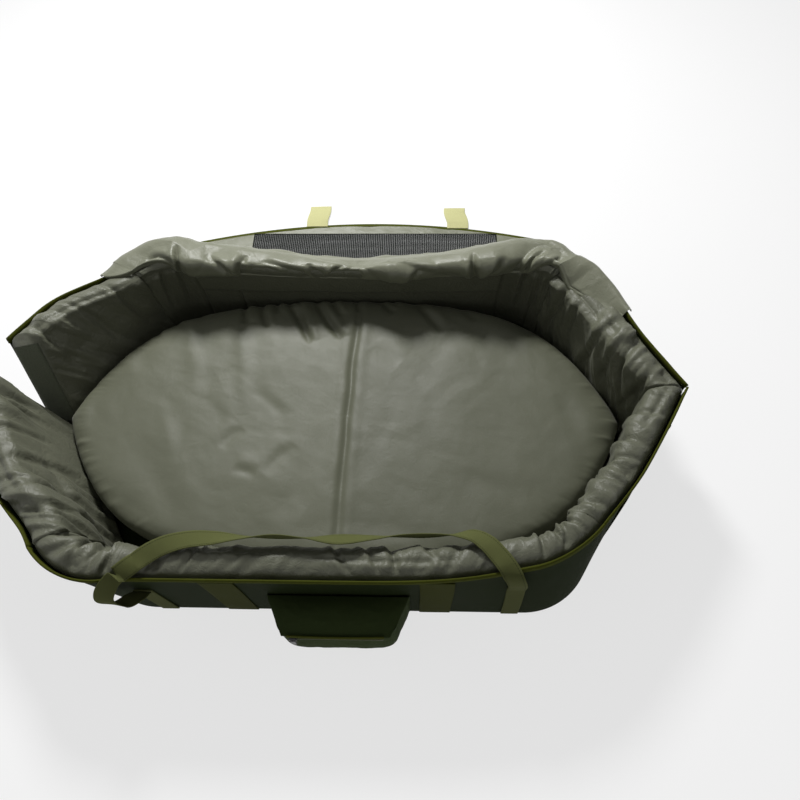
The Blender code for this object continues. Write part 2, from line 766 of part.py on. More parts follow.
def pocket_body():
    bm = bmesh.new()
    top = POCKET_GROUND + POCKET_HEIGHT
    loft(bm, [[(x, y, z) for x, y in pocket_outline(0)] for z in (POCKET_GROUND, top)])
    lids = [face for face in bm.faces if all(abs(v.co.z - top) < GAP for v in face.verts)]
    bmesh.ops.delete(bm, geom=lids, context="FACES_ONLY")
    front = -(HALF_WIDTH + GAP + POCKET_DEPTH)
    corners = [edge for edge in bm.edges
               if all(abs(v.co.y - front) < GAP for v in edge.verts)
               and (abs(edge.verts[0].co.z - edge.verts[1].co.z) > GAP
                    or edge.verts[0].co.z < top - GAP)]
    bmesh.ops.bevel(bm, geom=corners, offset=POCKET_ROUND, segments=3, affect="EDGES", profile=0.5)
    return solidify(finished("pocket_body", bm, "outer"), POCKET_SHEET, -1.0)


def pocket_lid():
    """A crowned lid, sewn to the wall at its back edge and closed by the zip at its front."""
    level = POCKET_GROUND + POCKET_HEIGHT + GAP + LID_SHEET / 2
    back = -(HALF_WIDTH + GAP + LID_SHEET)
    depth = POCKET_DEPTH - LID_SHEET
    rows = []
    for i in range(5):
        share = i / 4
        half = (POCKET_BACK_WIDTH * (1 - share) + POCKET_FRONT_WIDTH * share) / 2
        crown = LID_CROWN * math.sin(math.pi * share)
        row = []
        for j in range(9):
            across = 2 * j / 8 - 1
            row.append((POCKET_X + half * across, back - depth * share, level + crown * (1 - across ** 2)))
        rows.append(row)
    bm = bmesh.new()
    cloth_grid(bm, rows)
    item = solidify(finished("pocket_lid", bm, "outer"), LID_SHEET)
    give_origin(item, (POCKET_X, back, level))
    return item


def pocket_zip():
    """Tape and coil on the pocket's front, just under the lid."""
    face = -(HALF_WIDTH + GAP + POCKET_DEPTH)
    half = POCKET_FRONT_WIDTH / 2 - POCKET_ROUND
    top = POCKET_GROUND + POCKET_HEIGHT - GAP
    tape = face - GAP - ZIP_SHEET
    low, high = coil_height() - COIL_HEIGHT / 2, coil_height() + COIL_HEIGHT / 2
    front = tape - COIL_WIDTH
    neck = COIL_HEIGHT / 4
    section = [(face - GAP, top - ZIP_TAPE), (face - GAP, top), (tape, top), (tape, high - neck),
               (tape - GAP, high), (front, high), (front, low), (tape - GAP, low), (tape, low + neck),
               (tape, top - ZIP_TAPE)]
    bm = bmesh.new()
    loft(bm, [[(x, y, z) for y, z in section] for x in (POCKET_X - half, POCKET_X + half)])
    return finished("pocket_zip", bm, "zip")


def coil_height():
    return POCKET_GROUND + POCKET_HEIGHT - GAP - ZIP_TAPE / 2


def coil_front():
    return -(HALF_WIDTH + GAP + POCKET_DEPTH) - GAP - ZIP_SHEET - COIL_WIDTH


def slider_left():
    return POCKET_X - POCKET_FRONT_WIDTH / 2 + POCKET_ROUND + 2 * GAP


def zip_slider():
    """A block that wraps the coil on three sides, with a bridge for the pull."""
    half = COIL_HEIGHT / 2 + SLIDER_PLAY
    bm = bmesh.new()
    front = coil_front() - SLIDER_PLAY - SLIDER_WALL
    rear = coil_front() + COIL_WIDTH - GAP
    height = coil_height()
    outline = [
        (front, height - half - SLIDER_WALL), (rear, height - half - SLIDER_WALL), (rear, height - half),
        (front + SLIDER_WALL, height - half), (front + SLIDER_WALL, height + half), (rear, height + half),
        (rear, height + half + SLIDER_WALL), (front, height + half + SLIDER_WALL),
    ]
    loft(bm, [[(x, y, z) for y, z in outline] for x in (slider_left(), slider_left() + SLIDER_LENGTH)])
    return finished("zip_slider", bm, "plastic")


def zip_pull():
    front = coil_front() - SLIDER_PLAY - SLIDER_WALL - GAP - PULL_SHEET / 2
    top = coil_height() + COIL_HEIGHT / 2
    middle = slider_left() + SLIDER_LENGTH / 2
    outline = [(-PULL_WIDTH / 2, 0), (PULL_WIDTH / 2, 0), (PULL_WIDTH / 3, -PULL_LENGTH), (-PULL_WIDTH / 3, -PULL_LENGTH)]
    bm = bmesh.new()
    rings = [[(middle + x, y, top + z) for x, z in outline] for y in (front - PULL_SHEET / 2, front + PULL_SHEET / 2)]
    loft(bm, rings)
    item = finished("zip_pull", bm, "plastic")
    give_origin(item, (middle, front, top))
    return item


# Thrown-back cover: it bends over the rim and on the ground

TOP_AXIS = Vector((COVER_SHIFT, HALF_WIDTH - WALL_THICKNESS - GAP - CLOTH / 2, WALL_HEIGHT + 2 * GAP + CLOTH / 2))
DROP_AXIS = Vector((COVER_SHIFT, HALF_WIDTH + DROP_BEHIND, TOP_AXIS.z))
END_AXIS = Vector((COVER_SHIFT, HALF_WIDTH + DROP_SPREAD, GROUND_CLEAR + CLOTH / 2))


def cover_columns(half_width, count):
    return [COVER_SHIFT + half_width * (2 * i / count - 1) for i in range(count + 1)]


def folds(x):
    return math.sin(math.tau * (x - COVER_SHIFT) / FOLD_PITCH)


def hem_stations():
    """Places along the back wall's outer line, from the left end panel's edge to the right one's."""
    stations = [(*corner_station(-1, 1, share), LEFT_BACK_LEAN * share) for share in HEM_CORNER_SHARES]
    straight = CORNER_X - CORNER_TANGENT
    for i in range(1, HEM_COLUMNS):
        x = straight * (2 * i / HEM_COLUMNS - 1)
        stations.append(((x, HALF_WIDTH), (0, 1), 0))
    stations += [(*corner_station(1, 1, share), 0) for share in reversed(HEM_CORNER_SHARES)]
    return stations


HEM_CORNER_SHARES = (0.96, 0.8, 0.6, 0.4, 0.2, 0.0)
HEM_COLUMNS = 20


def cover_hem():
    """The cover's sewn edge, hanging inside the back wall in slack folds."""
    rows = []
    top = TOP_AXIS.z - CLOTH / 2 - GAP
    for share in (0.0, 0.35, 0.7, 1.0):
        row = []
        for place, outward, lean in hem_stations():
            wave = folds(place[0])
            slack = math.sin(math.pi * share) * HEM_BULGE * (1 + wave) / 2
            foot = top - HEM_DROP + HEM_WAVE * wave
            inner = -(WALL_THICKNESS + GAP + CLOTH / 2 + slack)
            row.append(leaned(place, outward, lean, inner, foot + (top - foot) * share))
        rows.append(row)
    bm = bmesh.new()
    cloth_grid(bm, rows)
    return solidify(finished("cover_hem", bm, "lining"), CLOTH)


def cover_top():
    bm = bmesh.new()
    ends = (TOP_AXIS.y, DROP_AXIS.y - HINGE_BREAK)
    box(bm, (COVER_SHIFT - COVER_HALF_WIDTH, ends[0], TOP_AXIS.z - CLOTH / 2),
        (COVER_SHIFT + COVER_HALF_WIDTH, ends[1], TOP_AXIS.z + CLOTH / 2))
    item = finished("cover_top", bm, "lining")
    give_origin(item, TOP_AXIS)
    return item


def cover_drop():
    """The part that hangs behind the wall, with its main folds."""
    run = END_AXIS - DROP_AXIS
    length = run.length
    down = run.normalized()
    out = Vector((1, 0, 0)).cross(down)
    rows = []
    steps = 6
    for i in range(steps + 1):
        along = HINGE_BREAK + (length - 2 * HINGE_BREAK) * i / steps
        depth = FOLD_DEPTH * math.sin(math.pi * i / steps)
        rows.append([Vector((x - COVER_SHIFT, 0, 0)) + DROP_AXIS + down * along + out * depth * folds(x)
                     for x in cover_columns(COVER_HALF_WIDTH, 36)])
    bm = bmesh.new()
    cloth_grid(bm, rows)
    item = solidify(finished("cover_drop", bm, "lining"), CLOTH)
    give_origin(item, DROP_AXIS)
    return item


def edge_y(x):
    return END_AXIS.y + END_LENGTH - EDGE_SAG * ((x - COVER_SHIFT) / END_HALF_WIDTH) ** 2


def cover_end():
    """The cover's far end on the ground: a fabric border round a mesh window, edge tape and two tabs."""
    near = END_AXIS.y + HINGE_BREAK
    curve = cover_columns(END_HALF_WIDTH, 14)
    outline = [(COVER_SHIFT - COVER_HALF_WIDTH, near), (curve[0], near + END_SHOULDER)]
    outline += [(x, edge_y(x)) for x in curve]
    outline += [(curve[-1], near + END_SHOULDER), (COVER_SHIFT + COVER_HALF_WIDTH, near)]
    low, high = near + MESH_NEAR, END_AXIS.y + END_LENGTH - MESH_FAR
    mesh_half = END_HALF_WIDTH - MESH_SIDE
    sides = (COVER_SHIFT - mesh_half, COVER_SHIFT + mesh_half)
    window = [(sides[0], low), (sides[0], high), (sides[1], high), (sides[1], low)]
    flat_curve("cover_border", [outline, window], CLOTH, END_AXIS.z, "lining")

    bm = bmesh.new()
    place = Matrix.Translation((COVER_SHIFT, (low + high) / 2, END_AXIS.z))
    place = place @ Matrix.Diagonal((2 * (mesh_half - GAP), high - low - 2 * GAP, 1.0, 1.0))
    bmesh.ops.create_grid(bm, x_segments=MESH_COLUMNS, y_segments=MESH_ROWS, size=0.5, matrix=place)
    holes = bmesh.ops.inset_individual(bm, faces=bm.faces[:], thickness=MESH_BAR, use_even_offset=True)
    rims = set(holes["faces"])
    bmesh.ops.delete(bm, geom=[face for face in bm.faces if face not in rims], context="FACES")
    solidify(finished("cover_mesh", bm, "mesh"), CLOTH - GAP)

    bm = bmesh.new()
    middle = GAP + EDGE_TAPE / 2
    height = GROUND_CLEAR + EDGE_TAPE_SHEET / 2
    points = [(x, edge_y(x) + middle, height) for x in curve]
    ribbon(bm, points, [(0, 1, 0)] * len(points), EDGE_TAPE, EDGE_TAPE_SHEET)
    finished("cover_edge_tape", bm, "webbing")

    for name, x in (("cover_tab_left", TAB_X[0]), ("cover_tab_right", TAB_X[1])):
        start = max(edge_y(x - TAB_WIDTH / 2), edge_y(x + TAB_WIDTH / 2)) + 2 * GAP + EDGE_TAPE
        places = [(x, start, END_AXIS.z), (x, start + TAB_LENGTH, END_AXIS.z)]
        bm = bmesh.new()
        ribbon(bm, places, [(1, 0, 0)] * 2, TAB_WIDTH, CLOTH)
        finished(name, bm, "tab")


clear_scene()
PARTS = new_collection(PART_NAME)
CUTTERS = new_collection("cutters")
flat_curve("floor_panel", [floor_outline()], FLOOR_SHEET, FLOOR_SHEET / 2, "outer")
build_walls()
wall_band("front_band_left", -BAND_X)
wall_band("front_band_right", BAND_X)
handle_tail("front_handle_tail_left", -HANDLE_X)
handle_tail("front_handle_tail_right", HANDLE_X)
front_handle()
back_handle()
build_pad()
pocket_body()
pocket_lid()
pocket_zip()
zip_slider()
zip_pull()
cover_hem()
cover_top()
cover_drop()
cover_end()
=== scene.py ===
"""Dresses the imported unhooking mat: padded walls, crowned pad, thrown-back cover, webbing and pocket."""

import contextlib
import math

import bmesh
import bpy
import numpy as np
from mathutils import Matrix, Vector


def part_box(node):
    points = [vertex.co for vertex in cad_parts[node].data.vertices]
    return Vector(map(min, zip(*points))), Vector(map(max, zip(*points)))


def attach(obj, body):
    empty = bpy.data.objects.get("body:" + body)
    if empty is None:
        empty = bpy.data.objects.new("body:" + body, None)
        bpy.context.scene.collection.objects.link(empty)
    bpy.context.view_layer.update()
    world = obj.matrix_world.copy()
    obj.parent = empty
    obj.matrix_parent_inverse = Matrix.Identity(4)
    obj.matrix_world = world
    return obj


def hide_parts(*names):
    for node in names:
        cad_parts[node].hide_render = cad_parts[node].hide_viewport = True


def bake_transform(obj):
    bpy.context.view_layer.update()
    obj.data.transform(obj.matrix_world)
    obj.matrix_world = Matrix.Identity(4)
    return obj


bl_info = {
    "name": "Unhooking mat",
    "version": (1, 0, 0),
    "blender": (4, 5, 0),
    "location": "3D View > Sidebar > Mat",
    "description": "Dresses a walled unhooking mat in coated nylon, webbing and mesh",
    "category": "Object",
}

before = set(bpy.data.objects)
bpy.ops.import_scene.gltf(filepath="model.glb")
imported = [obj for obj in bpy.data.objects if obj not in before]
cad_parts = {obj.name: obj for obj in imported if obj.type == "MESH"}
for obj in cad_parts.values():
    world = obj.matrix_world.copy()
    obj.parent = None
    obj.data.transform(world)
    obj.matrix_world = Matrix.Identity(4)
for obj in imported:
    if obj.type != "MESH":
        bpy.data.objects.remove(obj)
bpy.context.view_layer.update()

# Sizes of the solids, in metres
HALF_LENGTH = 0.550
HALF_WIDTH = 0.312
CORNER_X = 0.364
CORNER_RADIUS = 0.120
WALL_HEIGHT = 0.200
WALL_THICKNESS = 0.050
CORNER_ANGLE = math.atan2(HALF_WIDTH, HALF_LENGTH - CORNER_X)
STRAIGHT = CORNER_X - CORNER_RADIUS * math.tan(CORNER_ANGLE / 2)
CORNER_RUN = CORNER_RADIUS * CORNER_ANGLE
LEFT_LEAN = {-1: math.radians(18), 1: math.radians(20)}
LEFT_SLANT = 0.28
PANEL_START = 0.0006
MITRE_GAP = 0.0021
FABRIC_FOOT, FABRIC_TOP = 0.0024, 0.1876
BAND_WIDTH = 0.0495
HANDLE_WIDTH = 0.0275
STRAP_WIDTH = 0.0250
TAB_WIDTH = 0.0475
BAND_X = 0.155
HANDLE_X = 0.275
BUCKLE_LEVEL = 0.145
POCKET_X = 0.010

# Forms of the soft pieces, in metres and radians
CORNER_LEAN = math.radians(9)
FOLD_REACH = {"left_back": 0.034, "right_back": 0.134}
HEM_ENDS = (-0.290, 0.278)
LINING_SEAMS = (*HEM_ENDS, -0.217, 0.372)
SIDES = {"front": -1, "back": 1}


class MatLooks(bpy.types.PropertyGroup):
    """Colours and fabric sizes that a user may change."""

    lining_colour: bpy.props.FloatVectorProperty(
        name="Lining", description="Coated nylon of the walls' insides", subtype="COLOR",
        default=(0.104, 0.108, 0.075))
    pad_colour: bpy.props.FloatVectorProperty(
        name="Pad", description="Coated nylon of the pad", subtype="COLOR",
        default=(0.091, 0.095, 0.064))
    outer_colour: bpy.props.FloatVectorProperty(
        name="Outer fabric", description="Woven fabric of the outer faces", subtype="COLOR",
        default=(0.012, 0.017, 0.006))
    webbing_colour: bpy.props.FloatVectorProperty(
        name="Webbing", description="Bands, binding and edge tape", subtype="COLOR",
        default=(0.036, 0.041, 0.005))
    handle_colour: bpy.props.FloatVectorProperty(
        name="Handles", description="Carrying handles", subtype="COLOR",
        default=(0.105, 0.115, 0.042))
    tab_colour: bpy.props.FloatVectorProperty(
        name="Tabs", description="Grip tabs on the cover's edge", subtype="COLOR",
        default=(0.54, 0.53, 0.27))
    wrinkle_depth: bpy.props.FloatProperty(
        name="Wrinkle depth", description="Depth of the lining's wrinkles", unit="LENGTH",
        default=0.0046)
    weave_pitch: bpy.props.FloatProperty(
        name="Weave pitch", description="Distance between the fabric's threads", unit="LENGTH",
        default=0.0006)


class StageLooks(bpy.types.PropertyGroup):
    """Camera and light."""

    camera_place: bpy.props.FloatVectorProperty(
        name="Camera", description="Place of the camera", subtype="TRANSLATION",
        default=(0.124, -0.518, 1.092))
    camera_turn: bpy.props.FloatVectorProperty(
        name="Turn", description="Pitch down, yaw and roll of the camera in degrees",
        default=(61.3, -3.1, 2.3))
    lens: bpy.props.FloatProperty(
        name="Lens", description="Focal length in millimetres on a 36 mm sensor", default=29.25)
    key_power: bpy.props.FloatProperty(
        name="Key light", description="Power of the large lamp behind the mat, in watts", default=48.0)
    world_strength: bpy.props.FloatProperty(
        name="Sky", description="Strength of the surrounding light", default=0.16)


# Shader maths

class Wire:
    """A shader socket that Python's operators work on."""

    def __init__(self, tree, socket):
        self.tree = tree
        self.socket = socket

    def maths(self, operation, *values):
        """The result of a maths node on some values."""
        return node(self.tree, "ShaderNodeMath", {"operation": operation}, *values)

    def output(self, key):
        """Another output of the node that this wire leaves."""
        return Wire(self.tree, self.socket.node.outputs[key])

    def __add__(self, other):
        return self.maths("ADD", self, other)

    def __sub__(self, other):
        return self.maths("SUBTRACT", self, other)

    def __mul__(self, other):
        return self.maths("MULTIPLY", self, other)

    def __rsub__(self, other):
        return self.maths("SUBTRACT", other, self)

    __radd__ = __add__
    __rmul__ = __mul__


def connect(tree, socket, value):
    """Links a wire to a socket, or sets the socket's own number or colour."""
    if isinstance(value, Wire):
        tree.links.new(value.socket, socket)
    elif socket.type == "RGBA":
        socket.default_value = (*value, 1.0)
    else:
        socket.default_value = value


def node(tree, kind, settings, *values, out=0, numbered=None, **named):
    """Adds a node, sets it up, feeds its sockets in order, by number or by name, and gives one output."""
    made = tree.nodes.new(kind)
    for key, value in settings.items():
        setattr(made, key, value)
    sockets = dict(enumerate(values)) | (numbered or {})
    sockets |= {key.replace("_", " "): value for key, value in named.items()}
    for key, value in sockets.items():
        connect(tree, made.inputs[key], value)
    return Wire(tree, made.outputs[out])


def sine(value):
    """The sine of a wire."""
    return value.maths("SINE", value)


def value_band(value, middle, half):
    """1 within half of the middle value, else 0."""
    return value.maths("COMPARE", value, middle, half)


class Fabric:
    """A material under construction: its surface coordinates, its colour mixes and its bump."""

    def __init__(self, name):
        self.material = bpy.data.materials.new(name)
        self.material.use_nodes = True
        self.tree = self.material.node_tree
        self.shader = self.tree.nodes["Principled BSDF"]
        self.place = node(self.tree, "ShaderNodeTexCoord", {}, out=3)
        self.flat = node(self.tree, "ShaderNodeUVMap", {"uv_map": "UVMap"})

    def noise(self, scale, detail=3.0, roughness=0.55, distortion=0.0, where=None):
        return node(self.tree, "ShaderNodeTexNoise", {}, Vector=where or self.place, Scale=scale,
                    Detail=detail, Roughness=roughness, Distortion=distortion)

    def split(self, source):
        """The three components of a vector."""
        parts = node(self.tree, "ShaderNodeSeparateXYZ", {}, source)
        return [parts.output(axis) for axis in "XYZ"]

    def mix(self, share, first, second):
        colours = {0: share, 6: first, 7: second}
        return node(self.tree, "ShaderNodeMix", {"data_type": "RGBA"}, numbered=colours, out=2)

    def ramped(self, value, low, high, start, stop, kind="LINEAR"):
        """Runs from start to stop as a value runs from low to high."""
        settings = {"interpolation_type": kind}
        return node(self.tree, "ShaderNodeMapRange", settings, value, low, high, start, stop)

    def bump(self, height, strength, distance, under=None):
        named = {"Height": height, "Strength": strength, "Distance": distance}
        if under is not None:
            named["Normal"] = under
        return node(self.tree, "ShaderNodeBump", {}, **named)

    def feed(self, **sockets):
        for key, value in sockets.items():
            connect(self.tree, self.shader.inputs[key.replace("_", " ")], value)
        return self.material

    def weave(self, pitch):
        """Threads over and under in both directions of the cloth, 0 to 1."""
        u, v, _ = self.split(self.flat)
        turn = math.tau / pitch
        return sine(u * turn) * sine(v * turn) * 0.5 + 0.5

    def ridge(self, value):
        """Turns soft noise into sharp creases."""
        return 1.0 - value.maths("ABSOLUTE", value - 0.5) * 2.6

    def stitches(self, width, inset=0.0028, pitch=0.0034):
        """Two rows of thread along a strap's edges, 0 to 1."""
        u, v, _ = self.split(self.flat)
        near, far = value_band(u, inset, 0.0005), value_band(u, width - inset, 0.0005)
        wave = sine(v * (math.tau / pitch))
        return near.maths("MAXIMUM", near, far) * wave.maths("GREATER_THAN", wave, -0.35)


def shade(colour, factor):
    """A lighter or darker colour of the same hue."""
    return tuple(c * factor for c in colour)


def coated_nylon(name, colour, pitch, gloss=0.43, crumple=0.35, painted_light_x=None):
    """Wrinkled nylon with a soft gloss: cloudy colour, dust, crinkles and a fine weave.

    Where an x is given as the last setting, the piece is a little lighter to the left of it: painted light,
    for the lamp that stands nearer that side.
    """
    cloth = Fabric(name)
    clouds = cloth.noise(5.0, 4.0, 0.6)
    patches = cloth.noise(28.0, 3.0, 0.6, 0.4)
    tint = cloth.mix(clouds, shade(colour, 0.84), shade(colour, 1.17))
    tint = cloth.mix(patches * 0.55, tint, shade(colour, 0.93))
    # Painted light: lighter to the left of the given x, where the lamp stands nearer.
    if painted_light_x is not None:
        x = cloth.split(cloth.place)[0]
        side = cloth.ramped(x, painted_light_x - 0.035, painted_light_x + 0.03, 0.55, 0.0, "SMOOTHSTEP")
        tint = cloth.mix(side, tint, shade(colour, 1.22))
    dust = cloth.noise(420.0, 2.0, 0.5)
    tint = cloth.mix(cloth.ramped(dust, 0.62, 0.80, 0.0, 0.22), tint, shade(colour, 1.9))
    crinkle = cloth.noise(46.0, 5.0, 0.62, 0.9)
    ridges = cloth.ridge(crinkle)
    fine = cloth.noise(190.0, 3.0, 0.6, 0.5)
    under = cloth.bump(ridges, crumple, 0.0030)
    under = cloth.bump(fine, 0.6 * crumple, 0.0007, under)
    normal = cloth.bump(cloth.weave(pitch), 0.22, 0.00018, under)
    rough = cloth.noise(17.0, 3.0, 0.6) * 0.16 + (gloss - 0.08) + dust * 0.05
    cloth.feed(Specular_IOR_Level=0.30, Sheen_Weight=0.04, Sheen_Roughness=0.5)
    return cloth.feed(Base_Color=tint, Roughness=rough, Normal=normal)


def woven_fabric(name, colour, pitch):
    """Dull heavy outer fabric: visible yarns with painted highlights on their raised crossings, and dusty
    wear.
    """
    cloth = Fabric(name)
    weave = cloth.weave(pitch * 1.6)
    clouds = cloth.noise(9.0, 4.0, 0.6)
    tint = cloth.mix(clouds, shade(colour, 0.8), shade(colour, 1.25))
    # Painted highlight: lighter where the weave stands up.
    tint = cloth.mix(weave * 0.30, tint, shade(colour, 1.6))
    scuff = cloth.noise(70.0, 4.0, 0.7, 0.3)
    tint = cloth.mix(cloth.ramped(scuff, 0.60, 0.75, 0.0, 0.20), tint, shade(colour, 2.2))
    under = cloth.bump(cloth.noise(36.0, 4.0, 0.6, 0.5), 0.35, 0.0020)
    normal = cloth.bump(weave, 0.55, 0.00030, under)
    rough = clouds * 0.12 + 0.68
    return cloth.feed(Base_Color=tint, Roughness=rough, Normal=normal, Specular_IOR_Level=0.03)


def webbing_weave(name, colour, rib=0.0016, width=0.0):
    """Narrow webbing: ribs across it, yarns along it, painted shade in the grooves and painted highlights
    on the crowns, and two rows of stitches.
    """
    tape = Fabric(name)
    u, v, _ = tape.split(tape.flat)
    yarn_pitch = 0.62 * rib
    ribs = sine(v * (math.tau / rib)) * 0.5 + 0.5
    yarns = sine(u * (math.tau / yarn_pitch) + v * (math.tau / (rib * 2.0))) * 0.5 + 0.5
    height = ribs * 0.6 + yarns * 0.4
    clouds = tape.noise(24.0, 3.0, 0.6)
    # Painted shade and highlight: darker in the grooves and lighter on the crowns, by the ribs' and yarns'
    # height.
    tint = tape.mix(height, shade(colour, 0.62), shade(colour, 1.25))
    tint = tape.mix(clouds * 0.5, tint, shade(colour, 0.85))
    fuzz = tape.noise(600.0, 2.0, 0.6)
    tint = tape.mix(tape.ramped(fuzz, 0.6, 0.8, 0.0, 0.25), tint, shade(colour, 2.0))
    under = tape.bump(tape.noise(60.0, 3.0, 0.6), 0.25, 0.0010)
    if width:
        thread = tape.stitches(width)
        tint = tape.mix(thread, tint, shade(colour, 0.35))
        height = height - thread * 1.2
    normal = tape.bump(height, 0.75, 0.00035, under)
    rough = clouds * 0.1 + 0.74
    return tape.feed(Base_Color=tint, Roughness=rough, Normal=normal, Specular_IOR_Level=0.06)


def moulded_plastic(name, colour, roughness):
    """Moulded plastic with a fine grain."""
    part = Fabric(name)
    grain = part.noise(900.0, 2.0, 0.5)
    clouds = part.noise(60.0, 3.0, 0.6)
    tint = part.mix(clouds, shade(colour, 0.8), shade(colour, 1.3))
    rough = grain * 0.12 + roughness
    return part.feed(Base_Color=tint, Roughness=rough, Normal=part.bump(grain, 0.15, 0.0001))


def loop_pile(name, colour):
    """The hook-and-loop faces: a dull fuzz of loops."""
    pile = Fabric(name)
    loops = node(pile.tree, "ShaderNodeTexVoronoi", {}, Vector=pile.place, Scale=900.0)
    clouds = pile.noise(30.0, 3.0, 0.6)
    tint = pile.mix(loops, shade(colour, 1.3), shade(colour, 0.6))
    tint = pile.mix(clouds * 0.4, tint, shade(colour, 0.8))
    return pile.feed(Base_Color=tint, Roughness=clouds * 0.05 + 0.88, Normal=pile.bump(loops, 0.6, 0.0005))


def finishes(looks):
    """Every finish of the mat by name: its maker, its colour and the maker's other settings."""
    pitch, webbing = looks.weave_pitch, looks.webbing_colour
    return {
        "mat_lining": (coated_nylon, looks.lining_colour, pitch, 0.38, 0.45),
        "mat_pad": (coated_nylon, looks.pad_colour, pitch, 0.46, 0.08, 0.003),
        # The cover is a lighter copy of the lining's colour: painted light, to brighten the rolled cover
        # that faces the lamp.
        "mat_cover": (coated_nylon, shade(looks.lining_colour, 1.45), pitch, 0.36, 0.22),
        "mat_outer": (woven_fabric, looks.outer_colour, pitch),
        "mat_pocket": (woven_fabric, shade(looks.outer_colour, 3.0), pitch),
        # The binding and edge tape are a lighter copy of the bands' webbing: painted light, as the binding
        # lies on the lit rim and the bands face away from the lamp.
        "mat_webbing": (webbing_weave, shade(webbing, 1.7)),
        "mat_band": (webbing_weave, webbing, 0.0016, BAND_WIDTH),
        "mat_strap": (webbing_weave, shade(webbing, 0.55), 0.0013, STRAP_WIDTH),
        "mat_handle": (webbing_weave, looks.handle_colour, 0.0013, HANDLE_WIDTH),
        "mat_tab": (webbing_weave, looks.tab_colour, 0.0018, TAB_WIDTH),
        "mat_mesh": (webbing_weave, (0.020, 0.023, 0.020), 0.0012),
        "mat_zip": (webbing_weave, (0.072, 0.074, 0.020), 0.0011),
        "mat_closure": (loop_pile, (0.085, 0.095, 0.062)),
        "mat_coil": (moulded_plastic, (0.055, 0.058, 0.018), 0.45),
        "mat_plastic": (moulded_plastic, (0.012, 0.012, 0.012), 0.34),
    }


def material(name):
    """One of the mat's finishes, made on first use."""
    found = bpy.data.materials.get(name)
    if found is None:
        maker, *settings = finishes(bpy.context.scene.mat_looks)[name]
        found = maker(name, *settings)
    return found


# Noise and creases on plain arrays

def eased(share):
    """A share from 0 to 1 that starts and ends softly."""
    return share * share * (3.0 - 2.0 * share)


def lattice(a, b, pitch_a, pitch_b, seed):
    """Smooth noise from -1 to 1 over two coordinates."""
    size = 128
    table = np.random.default_rng(seed).uniform(-1.0, 1.0, (size, size))
    x, y = a / pitch_a + 40.0, b / pitch_b + 40.0
    i, j = np.floor(x).astype(int), np.floor(y).astype(int)
    p, q = x - i, y - j
    p, q = eased(p), eased(q)

    def corner(m, n):
        return table[(i + m) % size, (j + n) % size]

    low = corner(0, 0) * (1.0 - p) + corner(1, 0) * p
    high = corner(0, 1) * (1.0 - p) + corner(1, 1) * p
    return low * (1.0 - q) + high * q


def rumple(a, b, pitch_a, pitch_b, seed, octaves=3):
    """Sharp-crested noise of several sizes, like crumpled cloth, about -1 to 1."""
    total, weight, size = 0.0, 0.0, 1.0
    for k in range(octaves):
        wide_a, wide_b = pitch_a * 1.7 * size, pitch_b * 1.7 * size
        warp = lattice(a, b, wide_a, wide_b, seed + 31 + k) * pitch_a * 0.5 * size
        value = 1.0 - 2.2 * np.abs(lattice(a + warp, b, pitch_a * size, pitch_b * size, seed + k))
        total = total + value * size
        weight += size
        size *= 0.52
    return total / weight


def crumple(a, b, size, seed, spread=1.0, layers=2):
    """Flat facets between sharp folds, like creased nylon, about -0.5 to 0.5; spread turns the folds."""
    rng = np.random.default_rng(seed)
    total, weight, scale = 0.0, 0.0, 1.0
    for k in range(layers):
        waves = []
        for _ in range(3):
            turn = rng.uniform(-1.0, 1.0) * spread * math.pi / 2
            warp = lattice(a, b, size * 1.9 * scale, size * 2.3 * scale, int(rng.integers(1, 9999))) * 0.85
            step = (a * math.cos(turn) + b * math.sin(turn)) / (size * scale * rng.uniform(0.8, 1.25))
            waves.append(np.abs(np.mod(step + warp + rng.uniform(0.0, 9.0), 2.0) - 1.0))
        stack = np.sort(np.stack(waves), axis=0)
        total = total + (0.65 * stack[1] + 0.35 * stack[0] - 0.42) * scale
        weight += scale
        scale *= 0.45
    return total / weight


def crease(a, b, start, end, width, depth, bend=0.0):
    """A single fold line from start to end: a valley with a rounded crest beside it."""
    start, end = np.array(start, float), np.array(end, float)
    run = end - start
    length = np.linalg.norm(run)
    along = ((a - start[0]) * run[0] + (b - start[1]) * run[1]) / length ** 2
    across = ((b - start[1]) * run[0] - (a - start[0]) * run[1]) / length
    across = across - bend * (1.0 - (2.0 * along - 1.0) ** 2)
    fade = np.clip(1.0 - (2.0 * along - 1.0) ** 2, 0.0, 1.0) ** 0.7
    valley = np.exp(-((across / width) ** 2))
    crest = np.exp(-(((across - 1.9 * width) / (1.3 * width)) ** 2))
    return depth * fade * (0.55 * crest - valley)


def creases(a, b, rows, wider=1.0, deeper=1.0):
    """A table of fold lines added up; each row holds start, end, width, depth and bend."""
    return sum(crease(a, b, row[:2], row[2:4], row[4] * wider, row[5] * deeper, row[6]) for row in rows)


# Meshes from rows of points

def clean_slate():
    """Deselects everything."""
    bpy.ops.object.select_all(action="DESELECT")


def link(name, mesh, finish):
    """An object in the scene for a mesh, in one of the finishes."""
    item = bpy.data.objects.new(name, mesh)
    bpy.context.scene.collection.objects.link(item)
    mesh.materials.append(material(finish))
    return item


def hand_over(item, body, slot, *nodes):
    """Names the body that a piece moves with and hides the solids that it stands for; the slot is not used.
    """
    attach(item, body)
    if nodes:
        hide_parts(*nodes)


@contextlib.contextmanager
def edited(mesh):
    """A mesh opened for editing, and written back afterwards."""
    bm = bmesh.new()
    bm.from_mesh(mesh)
    yield bm
    bm.to_mesh(mesh)
    bm.free()


def grid(down, across):
    """Two arrays over a grid, whose rows follow the first list and whose columns follow the second."""
    return np.meshgrid(down, across, indexing="ij")


